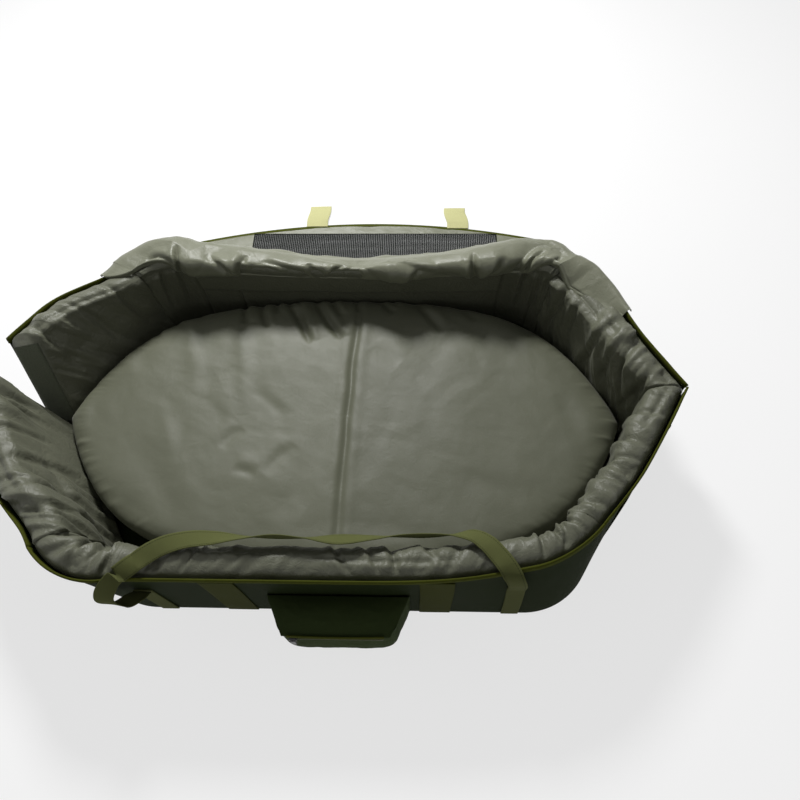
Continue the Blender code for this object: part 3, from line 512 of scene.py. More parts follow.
def unit(vectors, least=1e-12):
    """Vectors of length 1; those shorter than the least length stay short."""
    return vectors / np.maximum(np.linalg.norm(vectors, axis=-1, keepdims=True), least)


def lengths(points):
    """Running length of a line, or of a grid's rows averaged over its columns."""
    steps = np.linalg.norm(np.diff(points, axis=0), axis=-1)
    return np.concatenate([[0.0], np.cumsum(steps.reshape(len(steps), -1).mean(axis=1))])


def grid_normals(points):
    """Normals of a grid's points."""
    return unit(np.cross(np.gradient(points, axis=0), np.gradient(points, axis=1)))


def flat_size(points):
    """A cloth's size along its columns and its rows."""
    return float(lengths(points.transpose(1, 0, 2))[-1]), float(lengths(points)[-1])


def sheet_mesh(name, points, finish, closed=False, caps=False):
    """A mesh through a grid of points, with a UV map in metres along and across the cloth."""
    rows, columns = points.shape[:2]
    along = lengths(points)
    across = lengths(points.transpose(1, 0, 2))
    if closed:
        across = np.append(across, across[-1] + np.linalg.norm(points[:, -1] - points[:, 0], axis=1).mean())
    faces, uv = [], []
    last = columns if closed else columns - 1
    for i in range(rows - 1):
        for j in range(last):
            k = (j + 1) % columns
            faces.append((i * columns + j, i * columns + k, (i + 1) * columns + k, (i + 1) * columns + j))
            uv += [(across[j], along[i]), (across[j + 1], along[i]), (across[j + 1], along[i + 1]),
                   (across[j], along[i + 1])]
    if caps:
        for i, order in ((0, -1), (rows - 1, 1)):
            faces.append([i * columns + j for j in range(columns)][::order])
            uv += [(0.0, 0.0)] * columns
    mesh = bpy.data.meshes.new(name)
    mesh.from_pydata(points.reshape(-1, 3).tolist(), [], faces)
    layer = mesh.uv_layers.new(name="UVMap")
    layer.data.foreach_set("uv", np.array(uv, np.float32).ravel())
    with edited(mesh) as bm:
        bmesh.ops.recalc_face_normals(bm, faces=bm.faces)
    mesh.shade_smooth()
    return link(name, mesh, finish)


def thicken(item, thickness):
    """Gives a sheet its thickness, half to each side."""
    wall = item.modifiers.new("thickness", "SOLIDIFY")
    wall.thickness = thickness
    wall.offset = 0.0
    wall.use_even_offset = False
    clean_slate()
    item.select_set(True)
    bpy.context.view_layer.objects.active = item
    bpy.ops.object.modifier_apply(modifier=wall.name)
    clean_slate()


def resampled(path, count, axes=3):
    """Points spaced evenly along a smooth line through a few points; the first axes are their place."""
    path = np.array(path, float)
    knots = np.arange(len(path))
    fine = np.linspace(0, len(path) - 1, 40 * len(path))
    smooth = np.empty((len(fine), path.shape[1]))
    padded = np.vstack([2 * path[0] - path[1], path, 2 * path[-1] - path[-2]])
    cell = np.minimum(fine.astype(int), len(path) - 2)
    t = (fine - cell)[:, None]
    p0, p1, p2, p3 = (padded[cell + k] for k in range(4))
    smooth = 0.5 * (2 * p1 + (p2 - p0) * t + (2 * p0 - 5 * p1 + 4 * p2 - p3) * t ** 2
                    + (3 * p1 - p0 - 3 * p2 + p3) * t ** 3)
    run = lengths(smooth[:, :axes])
    places = np.linspace(0.0, run[-1], count)
    return np.stack([np.interp(places, run, smooth[:, k]) for k in range(path.shape[1])], axis=1)


def strap(name, path, sides, width, thickness, finish, count=80, crown=0.18):
    """Webbing along a path of points; each side vector lies across its width, and its edges are rounded."""
    both = resampled(np.hstack([np.array(path, float), np.array(sides, float)]), count)
    points, side = both[:, :3], both[:, 3:]
    run = unit(np.gradient(points, axis=0))
    side = unit(side - run * (side * run).sum(axis=1)[:, None])
    face = np.cross(run, side)
    half, rise = width / 2, thickness / 2
    section = [(-half, 0.0), (-half * 0.985, rise * 0.8), (-half * 0.9, rise)]
    section += [(half * s, rise * (1.0 + crown * (1.0 - s * s))) for s in (-0.55, 0.0, 0.55)]
    section += [(half * 0.9, rise), (half * 0.985, rise * 0.8), (half, 0.0)]
    section += [(a, -b) for a, b in section[-2:0:-1]]
    rings = np.stack([points + side * a + face * b for a, b in section], axis=1)
    return sheet_mesh(name, rings, finish, closed=True, caps=True)


# Places on the walls

def corner_place(sign_x, side, angle):
    """Place and outward direction on a rounded corner's outer line."""
    normal = np.stack([np.sin(angle) * sign_x, np.cos(angle) * side], axis=-1)
    centre = np.array([STRAIGHT * sign_x, side * (HALF_WIDTH - CORNER_RADIUS)])
    return centre + normal * CORNER_RADIUS, normal


def leaned(place, outward, lean, u, v):
    """Points of a wall's section that leans about the outer bottom edge."""
    across = u * np.cos(lean) + v * np.sin(lean)
    up = v * np.cos(lean) - u * np.sin(lean)
    x, y = (place[..., k] + outward[..., k] * across for k in (0, 1))
    return np.stack([x, y, up], -1)


SLUMPS = {  # middle in x and y, and reach in x and y
    "left_back": ((-0.42, 0.27), (0.12, 0.12)),
    "right_front": ((0.38, -0.31), (0.15, 0.13)),
    "right_back": ((0.43, 0.19), (0.09, 0.085)),
}


def near_corner(x, y, corner):
    """1 at the middle of a corner's slump, fading to 0 round it."""
    (middle_x, middle_y), (reach_x, reach_y) = SLUMPS[corner]
    return np.exp(-(((x - middle_x) / reach_x) ** 2) - ((y - middle_y) / reach_y) ** 2)


def settled(points):
    """The rim's soft slump: the back sags under the cover's weight, and the corners give a little."""
    points = np.array(points, float)
    x, y, z = points[..., 0], points[..., 1], points[..., 2]
    high = np.clip(z / WALL_HEIGHT, 0.0, 1.1)
    lift = high ** 1.3
    height = high ** 2 * np.clip((0.375 - y) / 0.03, 0.0, 1.0)
    middle = np.clip(1.0 - ((x - 0.02) / 0.345) ** 2, 0.0, 1.0)
    outer = np.clip((y - 0.262) / 0.05, 0.0, 1.2)
    rim = np.where(y > 0.2, middle * height, 0.0)
    left = near_corner(x, y, "left_back") * height
    front = near_corner(x, y, "right_front") * lift
    right = near_corner(x, y, "right_back") * lift
    points[..., 0] = x + 0.004 * left - 0.012 * front + 0.014 * right
    points[..., 1] = y - (0.010 + 0.016 * outer) * rim - 0.014 * left + 0.034 * front + 0.007 * right
    points[..., 2] = z - (0.024 + 0.016 * outer) * rim - 0.020 * left
    return points


class LongWall:
    """Front or back wall with its two rounded corners; g runs along its outer line from the left."""

    def __init__(self, name):
        self.name, self.side, self.body = name, SIDES[name], "trough"
        self.first, self.last = -(STRAIGHT + CORNER_RUN), STRAIGHT + CORNER_RUN

    def point(self, share, u, v):
        """A point of the wall: its share of the run, outwards from the outer face, and up."""
        g = self.first + (self.last - self.first) * share
        angle = np.clip((np.abs(g) - STRAIGHT) / CORNER_RADIUS, 0.0, CORNER_ANGLE)
        sign = np.sign(g)
        normal = np.stack([np.sin(angle) * sign, np.cos(angle) * self.side], -1)
        centre = np.stack([np.clip(g, -STRAIGHT, STRAIGHT),
                           np.full_like(g, self.side * (HALF_WIDTH - CORNER_RADIUS))], -1)
        place = centre + normal * CORNER_RADIUS
        lean = np.where(g < 0.0, CORNER_LEAN * angle / CORNER_ANGLE, 0.0)
        return settled(leaned(place, normal, lean, u, v))

    def run(self, share, _u, _v):
        """Distance from the wall's middle, along its outer line."""
        return self.first + (self.last - self.first) * share


class EndPanel:
    """One of the four end panels, from its corner to its mitred tip."""

    def __init__(self, name):
        self.name, self.body = name, name + "_panel"
        self.sign = -1 if name.startswith("left") else 1
        self.side = -1 if name.endswith("front") else 1
        self.lean = LEFT_LEAN[self.side] if self.sign < 0 else 0.0
        self.near_lean = CORNER_LEAN if self.sign < 0 else 0.0
        self.slant = LEFT_SLANT if self.sign < 0 else 0.0
        self.start, self.outward = corner_place(self.sign, self.side, np.array(CORNER_ANGLE))
        self.along = np.array([math.cos(CORNER_ANGLE) * self.sign, -math.sin(CORNER_ANGLE) * self.side])

    def end(self, u, v, back):
        """How far along the panel its mitred end lies, that much back from the middle."""
        plane = self.slant * v + self.side * back
        return (plane - self.start[1] - self.outward[1] * u) / self.along[1]

    def at(self, along, u, v):
        """A point on the panel; its foot leans as its solid does, and its rim starts upright and twists."""
        place = self.start + self.along * np.asarray(along)[..., None]
        twist = eased(np.clip(np.asarray(along) / 0.15, 0.0, 1.0))
        height = eased(np.clip((np.asarray(v) - 0.020) / 0.090, 0.0, 1.0))
        rim_lean = self.near_lean + (self.lean - self.near_lean) * twist
        lean = self.lean + (rim_lean - self.lean) * height
        return settled(leaned(place, np.broadcast_to(self.outward, place.shape), lean, u, v))

    def along_at(self, share, u, v):
        """How far along the panel a share of its run lies."""
        return PANEL_START + (self.end(u, v, MITRE_GAP) - PANEL_START) * share

    def point(self, share, u, v):
        """A point of the panel, as on a long wall."""
        return self.at(self.along_at(share, u, v), u, v)

    def run(self, share, u, v):
        """Distance from the long wall's middle, round its corner and along the panel."""
        return self.sign * (STRAIGHT + CORNER_RUN + self.along_at(share, u, v))


def walls():
    """The six walls, in the order in which they are made."""
    return [LongWall("front"), LongWall("back")] + [
        EndPanel(f"{a}_{b}") for a in ("left", "right") for b in ("front", "back")]


def arc_points(centre_u, centre_v, radius, start, stop, count):
    """Points on an arc between two angles in degrees."""
    turns = np.radians(np.linspace(start, stop, count))
    return [(centre_u + radius * math.cos(a), centre_v + radius * math.sin(a)) for a in turns]


def padding_section(count):
    """The padded wall's closed section, evenly spaced on the seen side: (u, v, how far it may move)."""
    roll, top, inner, outer = 0.0215, 0.2005, -0.0502, -0.0025
    seen = [(-0.0490, 0.0030), (-0.0500, 0.02), (-0.0500, 0.06), (-0.0500, 0.11), (inner, 0.15)]
    seen += arc_points(inner + roll, top - roll, roll, 170, 95, 5)
    seen += arc_points(outer - roll, top - roll, roll, 85, 38, 4)
    line = resampled(seen, count, axes=2)
    hidden = [(-0.0022, 0.183), (-0.0022, 0.12), (-0.0022, 0.06), (-0.0022, 0.0028), (-0.025, 0.0026)]
    section = np.vstack([line, hidden])
    run = lengths(line)
    m = np.concatenate([run, np.full(len(hidden), run[-1])])
    free = np.concatenate([np.ones(count), np.zeros(len(hidden))])
    edge = np.clip(run / 0.012, 0.0, 1.0) * np.clip((run[-1] - run) / 0.010, 0.0, 1.0)
    free[:count] *= edge
    return section, m, free, run[-1]


# Named creases: start, end, width, depth and bend; along the wall and up its section, from its foot
WALL_CREASES = {
    "front": (
        (-0.395, 0.1, -0.35, 0.245, 0.008, 0.006, 0.004),
        (-0.355, 0.13, -0.33, 0.25, 0.007, 0.005, -0.003), (-0.315, 0.14, -0.3, 0.25, 0.008, 0.005, 0.003),
        (-0.27, 0.16, -0.235, 0.24, 0.007, 0.003, 0.0), (0.0, 0.155, 0.04, 0.24, 0.007, 0.0045, 0.004),
        (0.04, 0.165, 0.075, 0.235, 0.006, 0.0045, -0.003),
        (0.085, 0.155, 0.105, 0.245, 0.008, 0.005, 0.003),
        (0.125, 0.165, 0.17, 0.225, 0.006, 0.0035, 0.002), (0.215, 0.15, 0.25, 0.24, 0.008, 0.0045, 0.004),
        (0.3, 0.12, 0.315, 0.25, 0.008, 0.006, -0.004), (0.345, 0.1, 0.355, 0.25, 0.009, 0.0065, 0.004),
        (0.385, 0.1, 0.392, 0.25, 0.009, 0.006, -0.004), (-0.02, 0.205, 0.19, 0.212, 0.006, 0.003, 0.003),
        (-0.21, 0.19, -0.05, 0.2, 0.007, 0.003, 0.002),
    ),
    "back": (
        (-0.39, 0.06, -0.36, 0.245, 0.009, 0.006, 0.004),
        (-0.345, 0.05, -0.335, 0.25, 0.009, 0.006, -0.004),
        (0.33, 0.05, 0.345, 0.25, 0.009, 0.0065, 0.005), (0.375, 0.05, 0.38, 0.25, 0.009, 0.006, -0.004),
        (0.405, 0.08, 0.412, 0.24, 0.007, 0.004, 0.003),
    ),
    "left_front": (
        (-0.45, 0.05, -0.47, 0.24, 0.01, 0.006, 0.005), (-0.505, 0.08, -0.52, 0.24, 0.009, 0.005, -0.004),
        (-0.56, 0.05, -0.57, 0.22, 0.011, 0.0045, 0.005), (-0.62, 0.09, -0.63, 0.23, 0.009, 0.004, 0.003),
        (-0.44, 0.205, -0.62, 0.215, 0.008, 0.0035, 0.003), (-0.46, 0.1, -0.6, 0.13, 0.012, 0.003, 0.006),
    ),
    "left_back": (
        (-0.455, 0.06, -0.47, 0.24, 0.009, 0.005, 0.004),
        (-0.52, 0.08, -0.545, 0.22, 0.01, 0.0045, -0.004), (-0.6, 0.1, -0.61, 0.24, 0.009, 0.004, 0.003),
        (-0.44, 0.19, -0.66, 0.2, 0.008, 0.003, 0.002),
    ),
    "right_front": (
        (0.44, 0.05, 0.452, 0.25, 0.01, 0.0065, 0.005), (0.485, 0.06, 0.5, 0.24, 0.009, 0.0055, -0.004),
        (0.53, 0.1, 0.56, 0.25, 0.008, 0.005, 0.004), (0.575, 0.07, 0.58, 0.24, 0.009, 0.0055, -0.005),
        (0.625, 0.1, 0.65, 0.24, 0.009, 0.0055, 0.005), (0.68, 0.08, 0.69, 0.24, 0.008, 0.0045, -0.003),
        (0.6, 0.205, 0.7, 0.212, 0.007, 0.0035, 0.002), (0.44, 0.12, 0.55, 0.15, 0.01, 0.0035, 0.006),
    ),
    "right_back": (
        (0.44, 0.04, 0.455, 0.24, 0.01, 0.0065, -0.005), (0.49, 0.08, 0.5, 0.24, 0.009, 0.0055, 0.004),
        (0.545, 0.05, 0.56, 0.23, 0.01, 0.005, -0.004), (0.6, 0.08, 0.605, 0.25, 0.009, 0.0055, 0.004),
        (0.655, 0.07, 0.675, 0.24, 0.009, 0.005, -0.003), (0.46, 0.19, 0.62, 0.2, 0.008, 0.004, 0.003),
    ),
}


SLACKNESS = {"front": 0.90, "back": 0.25, "left_front": 1.75, "left_back": 1.1, "right_front": 1.35,
             "right_back": 1.5}


def wall_relief(wall, g, m, total):
    """How far the lining stands off its foam: a puffed roll, cross wrinkles and named creases."""
    depth = bpy.context.scene.mat_looks.wrinkle_depth * SLACKNESS[wall.name]
    seed = 100 + 7 * sum(map(ord, wall.name))
    puff = 0.0016 * np.sin(np.pi * np.clip((m - 0.12) / (total - 0.12), 0.0, 1.0))
    corner = np.exp(-(((np.abs(g) - STRAIGHT - 0.5 * CORNER_RUN) / 0.075) ** 2))
    high = 0.45 + 0.55 * np.clip((m - 0.05) / 0.13, 0.0, 1.0)
    calm = np.clip(0.62 + 1.0 * lattice(g, m, 0.100, 0.14, seed + 5) + 0.40 * corner, 0.14, 1.50)
    slanted = g + 0.45 * m + lattice(g, m, 0.12, 0.15, seed + 3) * 0.020
    wrinkles = crumple(slanted, 0.30 * m, 0.030, seed, 0.40, 2) * 3.3 * calm * high
    cross = crumple(g, m, 0.030, seed + 50, 1.0, 1) * 0.80 * calm * high
    slack = lattice(g, m, 0.075, 0.09, seed + 9) * 0.30
    folds = np.clip(rumple(slanted, 0.35 * m, 0.020, 0.070, seed + 77, 1), -0.6, 1.0) * 0.75 * calm * high
    relief = puff + depth * (wrinkles + cross + slack + folds) - 0.0005
    relief = relief + creases(g, m, WALL_CREASES[wall.name], 0.62, 0.95)
    if wall.name == "back":
        relief = relief - seam_lines(g) * 0.0045 * np.clip((0.185 - m) / 0.02, 0.0, 1.0)
    under = np.zeros_like(g)
    if wall.name == "back":
        under = np.clip((m - 0.158) / 0.012, 0.0, 1.0)
    elif wall.name in FOLD_REACH:
        under = np.clip((m - 0.172) / 0.012, 0.0, 1.0)
        fold_end = STRAIGHT + CORNER_RUN + FOLD_REACH[wall.name]
        under = under * np.clip((fold_end - np.abs(g)) / 0.030, 0.0, 1.0)
    return relief * (1.0 - under) - (0.0120 if wall.name == "right_back" else 0.0020) * under


def seam_lines(g):
    """1 on the upright seams where the back wall's lining panels meet, and 0 between them."""
    return sum(np.exp(-(((g - place) / 0.0024) ** 2)) for place in LINING_SEAMS)


def wall_padding(wall):
    """The padded wall: foam and lining as one wrinkled body."""
    long = isinstance(wall, LongWall)
    length, row_pitch = wall.last - wall.first if long else 0.31, 0.0030
    deepest, highest, inner_column = -0.013, 0.0085, 18
    rows = int(length / row_pitch)
    section, m, free, total = padding_section(84)
    share, column = grid(np.linspace(0.0, 1.0, rows), np.arange(len(section)))
    u, v = section[column, 0], section[column, 1]
    base = wall.point(share, u, v)
    g = wall.run(share, u, v)
    normal = grid_normals(base)
    inside = wall.point(share, u - 0.01, v) - base
    flip = np.sign((normal[:, inner_column] * inside[:, inner_column]).sum())
    ends = 1.0 if long else np.clip((1.0 - share) / 0.03, 0.25, 1.0)
    relief = wall_relief(wall, g, m[column], total) * free * ends
    points = base + normal * (np.clip(relief, deepest, highest) * flip)[..., None]
    item = sheet_mesh(wall.name + "_padding", points, "mat_lining", closed=True, caps=True)
    hand_over(item, wall.body, "grey_lining", wall.name + "_foam", wall.name + "_lining")


def outer_face(wall):
    """The dark outer fabric, drawn tight over the foam's outer face."""
    rows = 150 if isinstance(wall, LongWall) else 60
    share, height = grid(np.linspace(0.0, 1.0, rows), np.linspace(FABRIC_FOOT, FABRIC_TOP, 34))
    g = wall.run(share, 0.0, height)
    seed = 300 + sum(map(ord, wall.name))
    hold = np.clip(height / 0.02, 0.0, 1.0) * np.clip((FABRIC_TOP - height) / 0.02, 0.0, 1.0)
    sag = (rumple(g, height, 0.060, 0.10, seed) * 0.0005 - 0.0006) * hold
    points = wall.point(share, sag, height)
    item = sheet_mesh(wall.name + "_outer_fabric", points, "mat_outer")
    thicken(item, 0.0008)
    hand_over(item, wall.body, "dark_fabric", wall.name + "_outer_cover")
    flat_size(points)[::-1]


def rim_tape(wall):
    """Folded binding along the top outer edge, with its stitch line pressed in."""
    rows = 240 if isinstance(wall, LongWall) else 90
    section = np.array([
        (-0.0010, 0.1880), (0.0008, 0.1880), (0.0021, 0.1886), (0.0023, 0.1900), (0.0017, 0.1912),
        (0.0024, 0.1924), (0.0027, 0.1945), (0.0025, 0.1968), (0.0016, 0.1984), (0.0004, 0.1989),
        (-0.0010, 0.1986)])
    share, column = grid(np.linspace(0.0, 1.0, rows), np.arange(len(section)))
    u, v = section[column, 0], section[column, 1]
    g = wall.run(share, u, v)
    wobble = lattice(g, v * 0, 0.03, 1.0, 11) * 0.0005
    points = wall.point(share, u + np.where(u > 0, wobble * 0.5, 0.0), v + wobble * 0.6)
    item = sheet_mesh(wall.name + "_rim_tape", points, "mat_webbing", closed=True, caps=True)
    hand_over(item, wall.body, "olive_webbing", wall.name + "_rim_binding")


def closure_face(panel):
    """Hook-and-loop sheet on the mitred end of a panel."""
    low, high, near, far = 0.0223, 0.179, -0.0030, -0.0470
    v, u = grid(np.linspace(low, high, 40), np.linspace(near, far, 12))
    points = panel.at(panel.end(u, v, 0.0010), u, v)
    item = sheet_mesh(panel.name + "_closure_face", points, "mat_closure")
    thicken(item, 0.0013)
    hand_over(item, panel.body, "hook_and_loop", panel.name + "_closure_strip")


# Pad

def pad_outline(turn, height):
    """An oval that the end walls hold; at the left it grows with height, because those walls lean out."""
    left = np.cos(turn) < 0.0
    half_length = np.where(left, 0.516 + 0.34 * height, 0.520)
    half_width, squareness, corner_sharpness = 0.2605, 2.25, 10
    cx, sy = half_length * np.cos(turn), half_width * np.sin(turn)
    size = np.hypot(cx, sy)
    cx, sy = cx / size, sy / size
    oval = (np.abs(cx) / half_length) ** squareness + (np.abs(sy) / half_width) ** squareness
    oval = oval ** (1 / squareness)
    slack = np.where(left, 0.009 + 0.31 * height, 0.0135)
    room = HALF_LENGTH * math.sin(CORNER_ANGLE) - WALL_THICKNESS + slack
    held = (np.abs(cx) * math.sin(CORNER_ANGLE) + np.abs(sy) * math.cos(CORNER_ANGLE)) / room
    reach = 1.0 / (oval ** corner_sharpness + held ** corner_sharpness) ** (1 / corner_sharpness)
    return cx * reach, sy * reach


# The pad's creases seen from above: start, end, width, depth and bend
PAD_GATHERS = (
    (-0.307, 0.268, -0.294, 0.215, 0.006, 0.006, 0.001),
    (-0.266, 0.268, -0.253, 0.232, 0.005, 0.0045, 0.0),
    (-0.219, 0.268, -0.204, 0.195, 0.0065, 0.007, 0.002),
    (-0.181, 0.265, -0.159, 0.185, 0.006, 0.007, -0.003),
    (-0.156, 0.268, -0.143, 0.22, 0.005, 0.006, 0.002),
    (-0.138, 0.268, -0.074, 0.15, 0.007, 0.0085, 0.004),
    (-0.113, 0.268, -0.086, 0.2, 0.005, 0.006, -0.002),
    (-0.078, 0.266, -0.016, 0.16, 0.007, 0.0085, -0.004),
    (-0.05, 0.268, -0.022, 0.212, 0.005, 0.0065, 0.002), (0.0, 0.268, 0.012, 0.225, 0.005, 0.0045, 0.0),
    (0.033, 0.268, 0.078, 0.22, 0.007, 0.006, 0.003), (0.07, 0.268, 0.085, 0.235, 0.005, 0.0045, -0.001),
    (0.105, 0.264, 0.172, 0.175, 0.009, 0.005, 0.004), (0.195, 0.262, 0.235, 0.205, 0.008, 0.0035, -0.003),
    (-0.35, 0.235, -0.335, 0.19, 0.006, 0.0045, 0.001), (-0.39, 0.205, -0.362, 0.165, 0.006, 0.004, 0.001),
)
PAD_FOLDS = (
    (-0.23, 0.262, -0.178, 0.0, 0.0085, -0.0026, 0.006),
    (-0.33, 0.235, -0.272, 0.04, 0.0095, -0.0024, 0.008),
    (-0.34, 0.035, -0.283, -0.1, 0.008, -0.0022, 0.004),
    (-0.474, 0.065, -0.46, -0.06, 0.008, -0.0026, 0.004),
    (-0.434, 0.16, -0.394, 0.08, 0.009, -0.002, 0.003),
    (-0.104, 0.262, -0.045, 0.165, 0.008, -0.0028, 0.003),
    (-0.21, -0.064, -0.178, -0.026, 0.007, 0.0032, 0.004),
    (-0.185, -0.103, -0.143, -0.114, 0.006, 0.0032, 0.003),
    (-0.128, -0.112, -0.084, -0.056, 0.0075, 0.0034, 0.004),
    (-0.172, 0.05, -0.104, -0.006, 0.007, 0.002, 0.004),
    (-0.433, -0.124, -0.31, -0.196, 0.012, 0.0026, 0.006),
    (-0.255, 0.035, -0.206, -0.024, 0.008, 0.0018, 0.003),
    (0.04, 0.142, 0.092, 0.106, 0.01, 0.0026, 0.004), (0.2, 0.19, 0.134, 0.112, 0.012, 0.0022, 0.006),
    (0.205, -0.112, 0.3, -0.155, 0.012, 0.0022, 0.005), (0.372, 0.045, 0.403, -0.05, 0.011, 0.0024, 0.004),
    (0.25, 0.08, 0.36, -0.01, 0.016, 0.0022, 0.008), (0.12, -0.02, 0.23, -0.19, 0.017, 0.002, 0.01),
    (-0.06, -0.19, 0.15, -0.215, 0.013, 0.0022, 0.006),
    (-0.36, -0.06, -0.25, -0.215, 0.013, 0.0022, 0.006),
)


def pad_piece():
    """The crowned oval pad with its centre crease, back-edge gathers and soft dents."""
    around, across = 640, 150
    turn = np.linspace(0.0, math.tau, around, endpoint=False)
    profile = np.array([  # share of the way out, height
        (0.935, 0.0026), (0.975, 0.009), (0.995, 0.022), (1.002, 0.040), (1.001, 0.055), (0.992, 0.068),
        (0.972, 0.0775), (0.945, 0.0825), (0.900, 0.0855), (0.820, 0.0868), (0.60, 0.0878), (0.30, 0.0880),
        (0.004, 0.0880)])
    half_size = np.array([0.3, 1.0])
    line = resampled(profile * half_size, across) / half_size
    reach, height = line[:, 0], line[:, 1]
    x, y = pad_outline(turn[None, :], height[:, None])
    px = x * reach[:, None]
    py = y * reach[:, None]
    pz = np.broadcast_to(height[:, None], px.shape).copy()
    top = np.clip((pz - 0.050) / 0.030, 0.0, 1.0)
    relief = creases(px, py, PAD_GATHERS) + creases(px, py, PAD_FOLDS, 1.5, 0.55)
    relief = relief + rumple(px, py, 0.13, 0.15, 21) * 0.0008 + lattice(px, py, 0.16, 0.14, 5) * 0.0016
    relief = relief + crumple(px, py, 0.060, 88, 1.0) * 0.0022
    rim = np.exp(-(((reach[:, None] - 0.96) / 0.035) ** 2))
    angle_run = np.broadcast_to(turn * 0.36, px.shape)
    relief = relief + rim * rumple(angle_run, pz, 0.030, 0.08, 44) * 0.0022
    fold = px - 0.004 - 0.008 * py / 0.25 + lattice(py, py, 0.10, 0.1, 9) * 0.002
    relief = relief - 0.0038 * np.exp(-((fold / 0.0060) ** 2))
    relief = relief + 0.0012 * np.exp(-(((np.abs(fold) - 0.016) / 0.010) ** 2))
    relief = np.clip(relief, -0.010, 0.0045)
    pz = pz + relief * top - 0.0010 * top
    side = (1.0 - top) * rim * rumple(angle_run, pz, 0.025, 0.06, 54) * 0.0015
    swell = 1.0 + side / np.maximum(np.hypot(px, py), 0.05)
    points = np.stack([px * swell, py * swell, pz], axis=-1)
    item = sheet_mesh("pad", points, "mat_pad", closed=True, caps=True)
    planar_uv(item)
    hand_over(item, "trough", "grey_lining", "pad_cover", "pad_base", "pad_foam_left", "pad_foam_right")


def planar_uv(item):
    """Lays the weave flat over a piece from above."""
    mesh = item.data
    index = np.empty(len(mesh.loops), int)
    mesh.loops.foreach_get("vertex_index", index)
    places = np.empty(len(mesh.vertices) * 3, np.float32)
    mesh.vertices.foreach_get("co", places)
    flat = places.reshape(-1, 3)[index][:, :2]
    mesh.uv_layers["UVMap"].data.foreach_set("uv", flat.ravel())


# Thrown-back cover

FOLD_LINE_Y = 0.3600
COVER_SHIFT = 0.028
COVER_HALF = 0.322
END_HALF = 0.385
END_LENGTH = 0.161
EDGE_SAG = 0.052
BORDER_NEAR = 0.3612
MESH_NEAR, MESH_FAR = 0.3872, 0.4965
MESH_HALF = END_HALF - 0.118

COVER_PATH = (  # outwards from the wall's face, up, half span, middle, how straight it runs
    (-0.0512, 0.179, 0.4195, 0.0, 0.0), (-0.0518, 0.1712, 0.4195, 0.0, 0.0),
    (-0.0548, 0.1674, 0.4195, 0.0, 0.0), (-0.0584, 0.1712, 0.4195, 0.0, 0.0),
    (-0.0598, 0.184, 0.4195, 0.0, 0.0), (-0.0578, 0.1985, 0.4195, 0.0, 0.0),
    (-0.05, 0.2072, 0.4195, 0.0, 0.0), (-0.036, 0.2105, 0.4195, 0.0, 0.0),
    (-0.0193, 0.2108, 0.4195, 0.0, 0.0), (-0.004, 0.2092, 0.4195, 0.0, 0.0),
    (0.0075, 0.2035, 0.4195, 0.0, 0.0), (0.014, 0.194, 0.4195, 0.0, 0.0), (0.0175, 0.18, 0.4185, 0.0, 0.0),
    (0.0235, 0.145, 0.376, 0.01, 0.1), (0.0303, 0.1012, 0.34, 0.02, 0.4),
    (0.038, 0.056, 0.324, 0.026, 0.8), (0.043, 0.023, 0.322, 0.028, 1.0),
    (0.049, 0.0085, 0.322, 0.028, 1.0), (0.058, 0.003, 0.323, 0.028, 1.0),
    (0.072, 0.0022, 0.326, 0.028, 1.0),
)
# The roll's creases: start, end, width, depth and bend; along the wall and up the cloth from its lip
ROLL_CREASES = (
    (-0.325, 0.0, -0.318, 0.088, 0.0055, 0.0085, 0.002), (-0.197, 0.0, -0.19, 0.085, 0.006, 0.0095, 0.003),
    (-0.262, 0.08, -0.205, 0.016, 0.0075, 0.006, -0.004), (-0.047, 0.0, -0.074, 0.07, 0.006, 0.009, 0.003),
    (-0.047, 0.0, -0.014, 0.074, 0.006, 0.009, -0.003),
    (-0.16, 0.072, -0.095, 0.03, 0.0085, 0.0045, 0.005), (0.232, 0.0, 0.222, 0.085, 0.006, 0.01, 0.003),
    (0.232, 0.0, 0.28, 0.064, 0.007, 0.007, -0.004), (0.055, 0.072, 0.155, 0.034, 0.009, 0.0048, 0.006),
    (0.33, 0.01, 0.366, 0.084, 0.007, 0.008, 0.004), (0.388, 0.01, 0.404, 0.088, 0.006, 0.0075, -0.003),
    (-0.385, 0.078, -0.34, 0.04, 0.008, 0.006, 0.003), (0.455, 0.02, 0.48, 0.085, 0.007, 0.006, 0.003),
    (0.11, 0.014, 0.128, 0.05, 0.006, 0.0045, 0.002),
)


def cover_relief(g, s):
    """Large smooth facets of the rolled-back cloth, with finer upright folds where it hangs and lies."""
    roll = np.clip(1.0 - (s - 0.095) / 0.06, 0.0, 1.0)
    folds = crumple(g + 0.3 * s, 0.8 * s, 0.070, 5, 0.8, 1) * 0.0290 * roll
    folds = folds + crumple(g, s, 0.030, 15, 1.0, 1) * 0.0020 * (0.4 + 0.6 * roll)
    folds = folds + crumple(g, 0.15 * s, 0.045, 25, 0.4) * 0.0100 * (1.0 - roll)
    return folds + creases(g, s, ROLL_CREASES) + lattice(g, s, 0.12, 0.2, 35) * 0.0022


def narrowed(u, v, share):
    """Draws the roll's inner part up onto the top of the wall, as it runs round the corners."""
    inside, top = -0.036, 0.2095
    inner = np.clip((inside - u) / 0.004, 0.0, 1.0) * share
    return u + (inside - u) * 0.80 * inner, v + (top - v) * 0.72 * inner


def cover_section(path, count):
    """The cover's path, its running length, and a function that moves its points along their normals."""
    line = resampled(path, count, axes=2)
    s = lengths(line[:, :2])
    run = unit(np.gradient(line[:, :2], axis=0))

    def moved(relief):
        return line[:, :1] - run[:, 1:] * relief, line[:, 1:2] + run[:, :1] * relief

    return line, s, moved


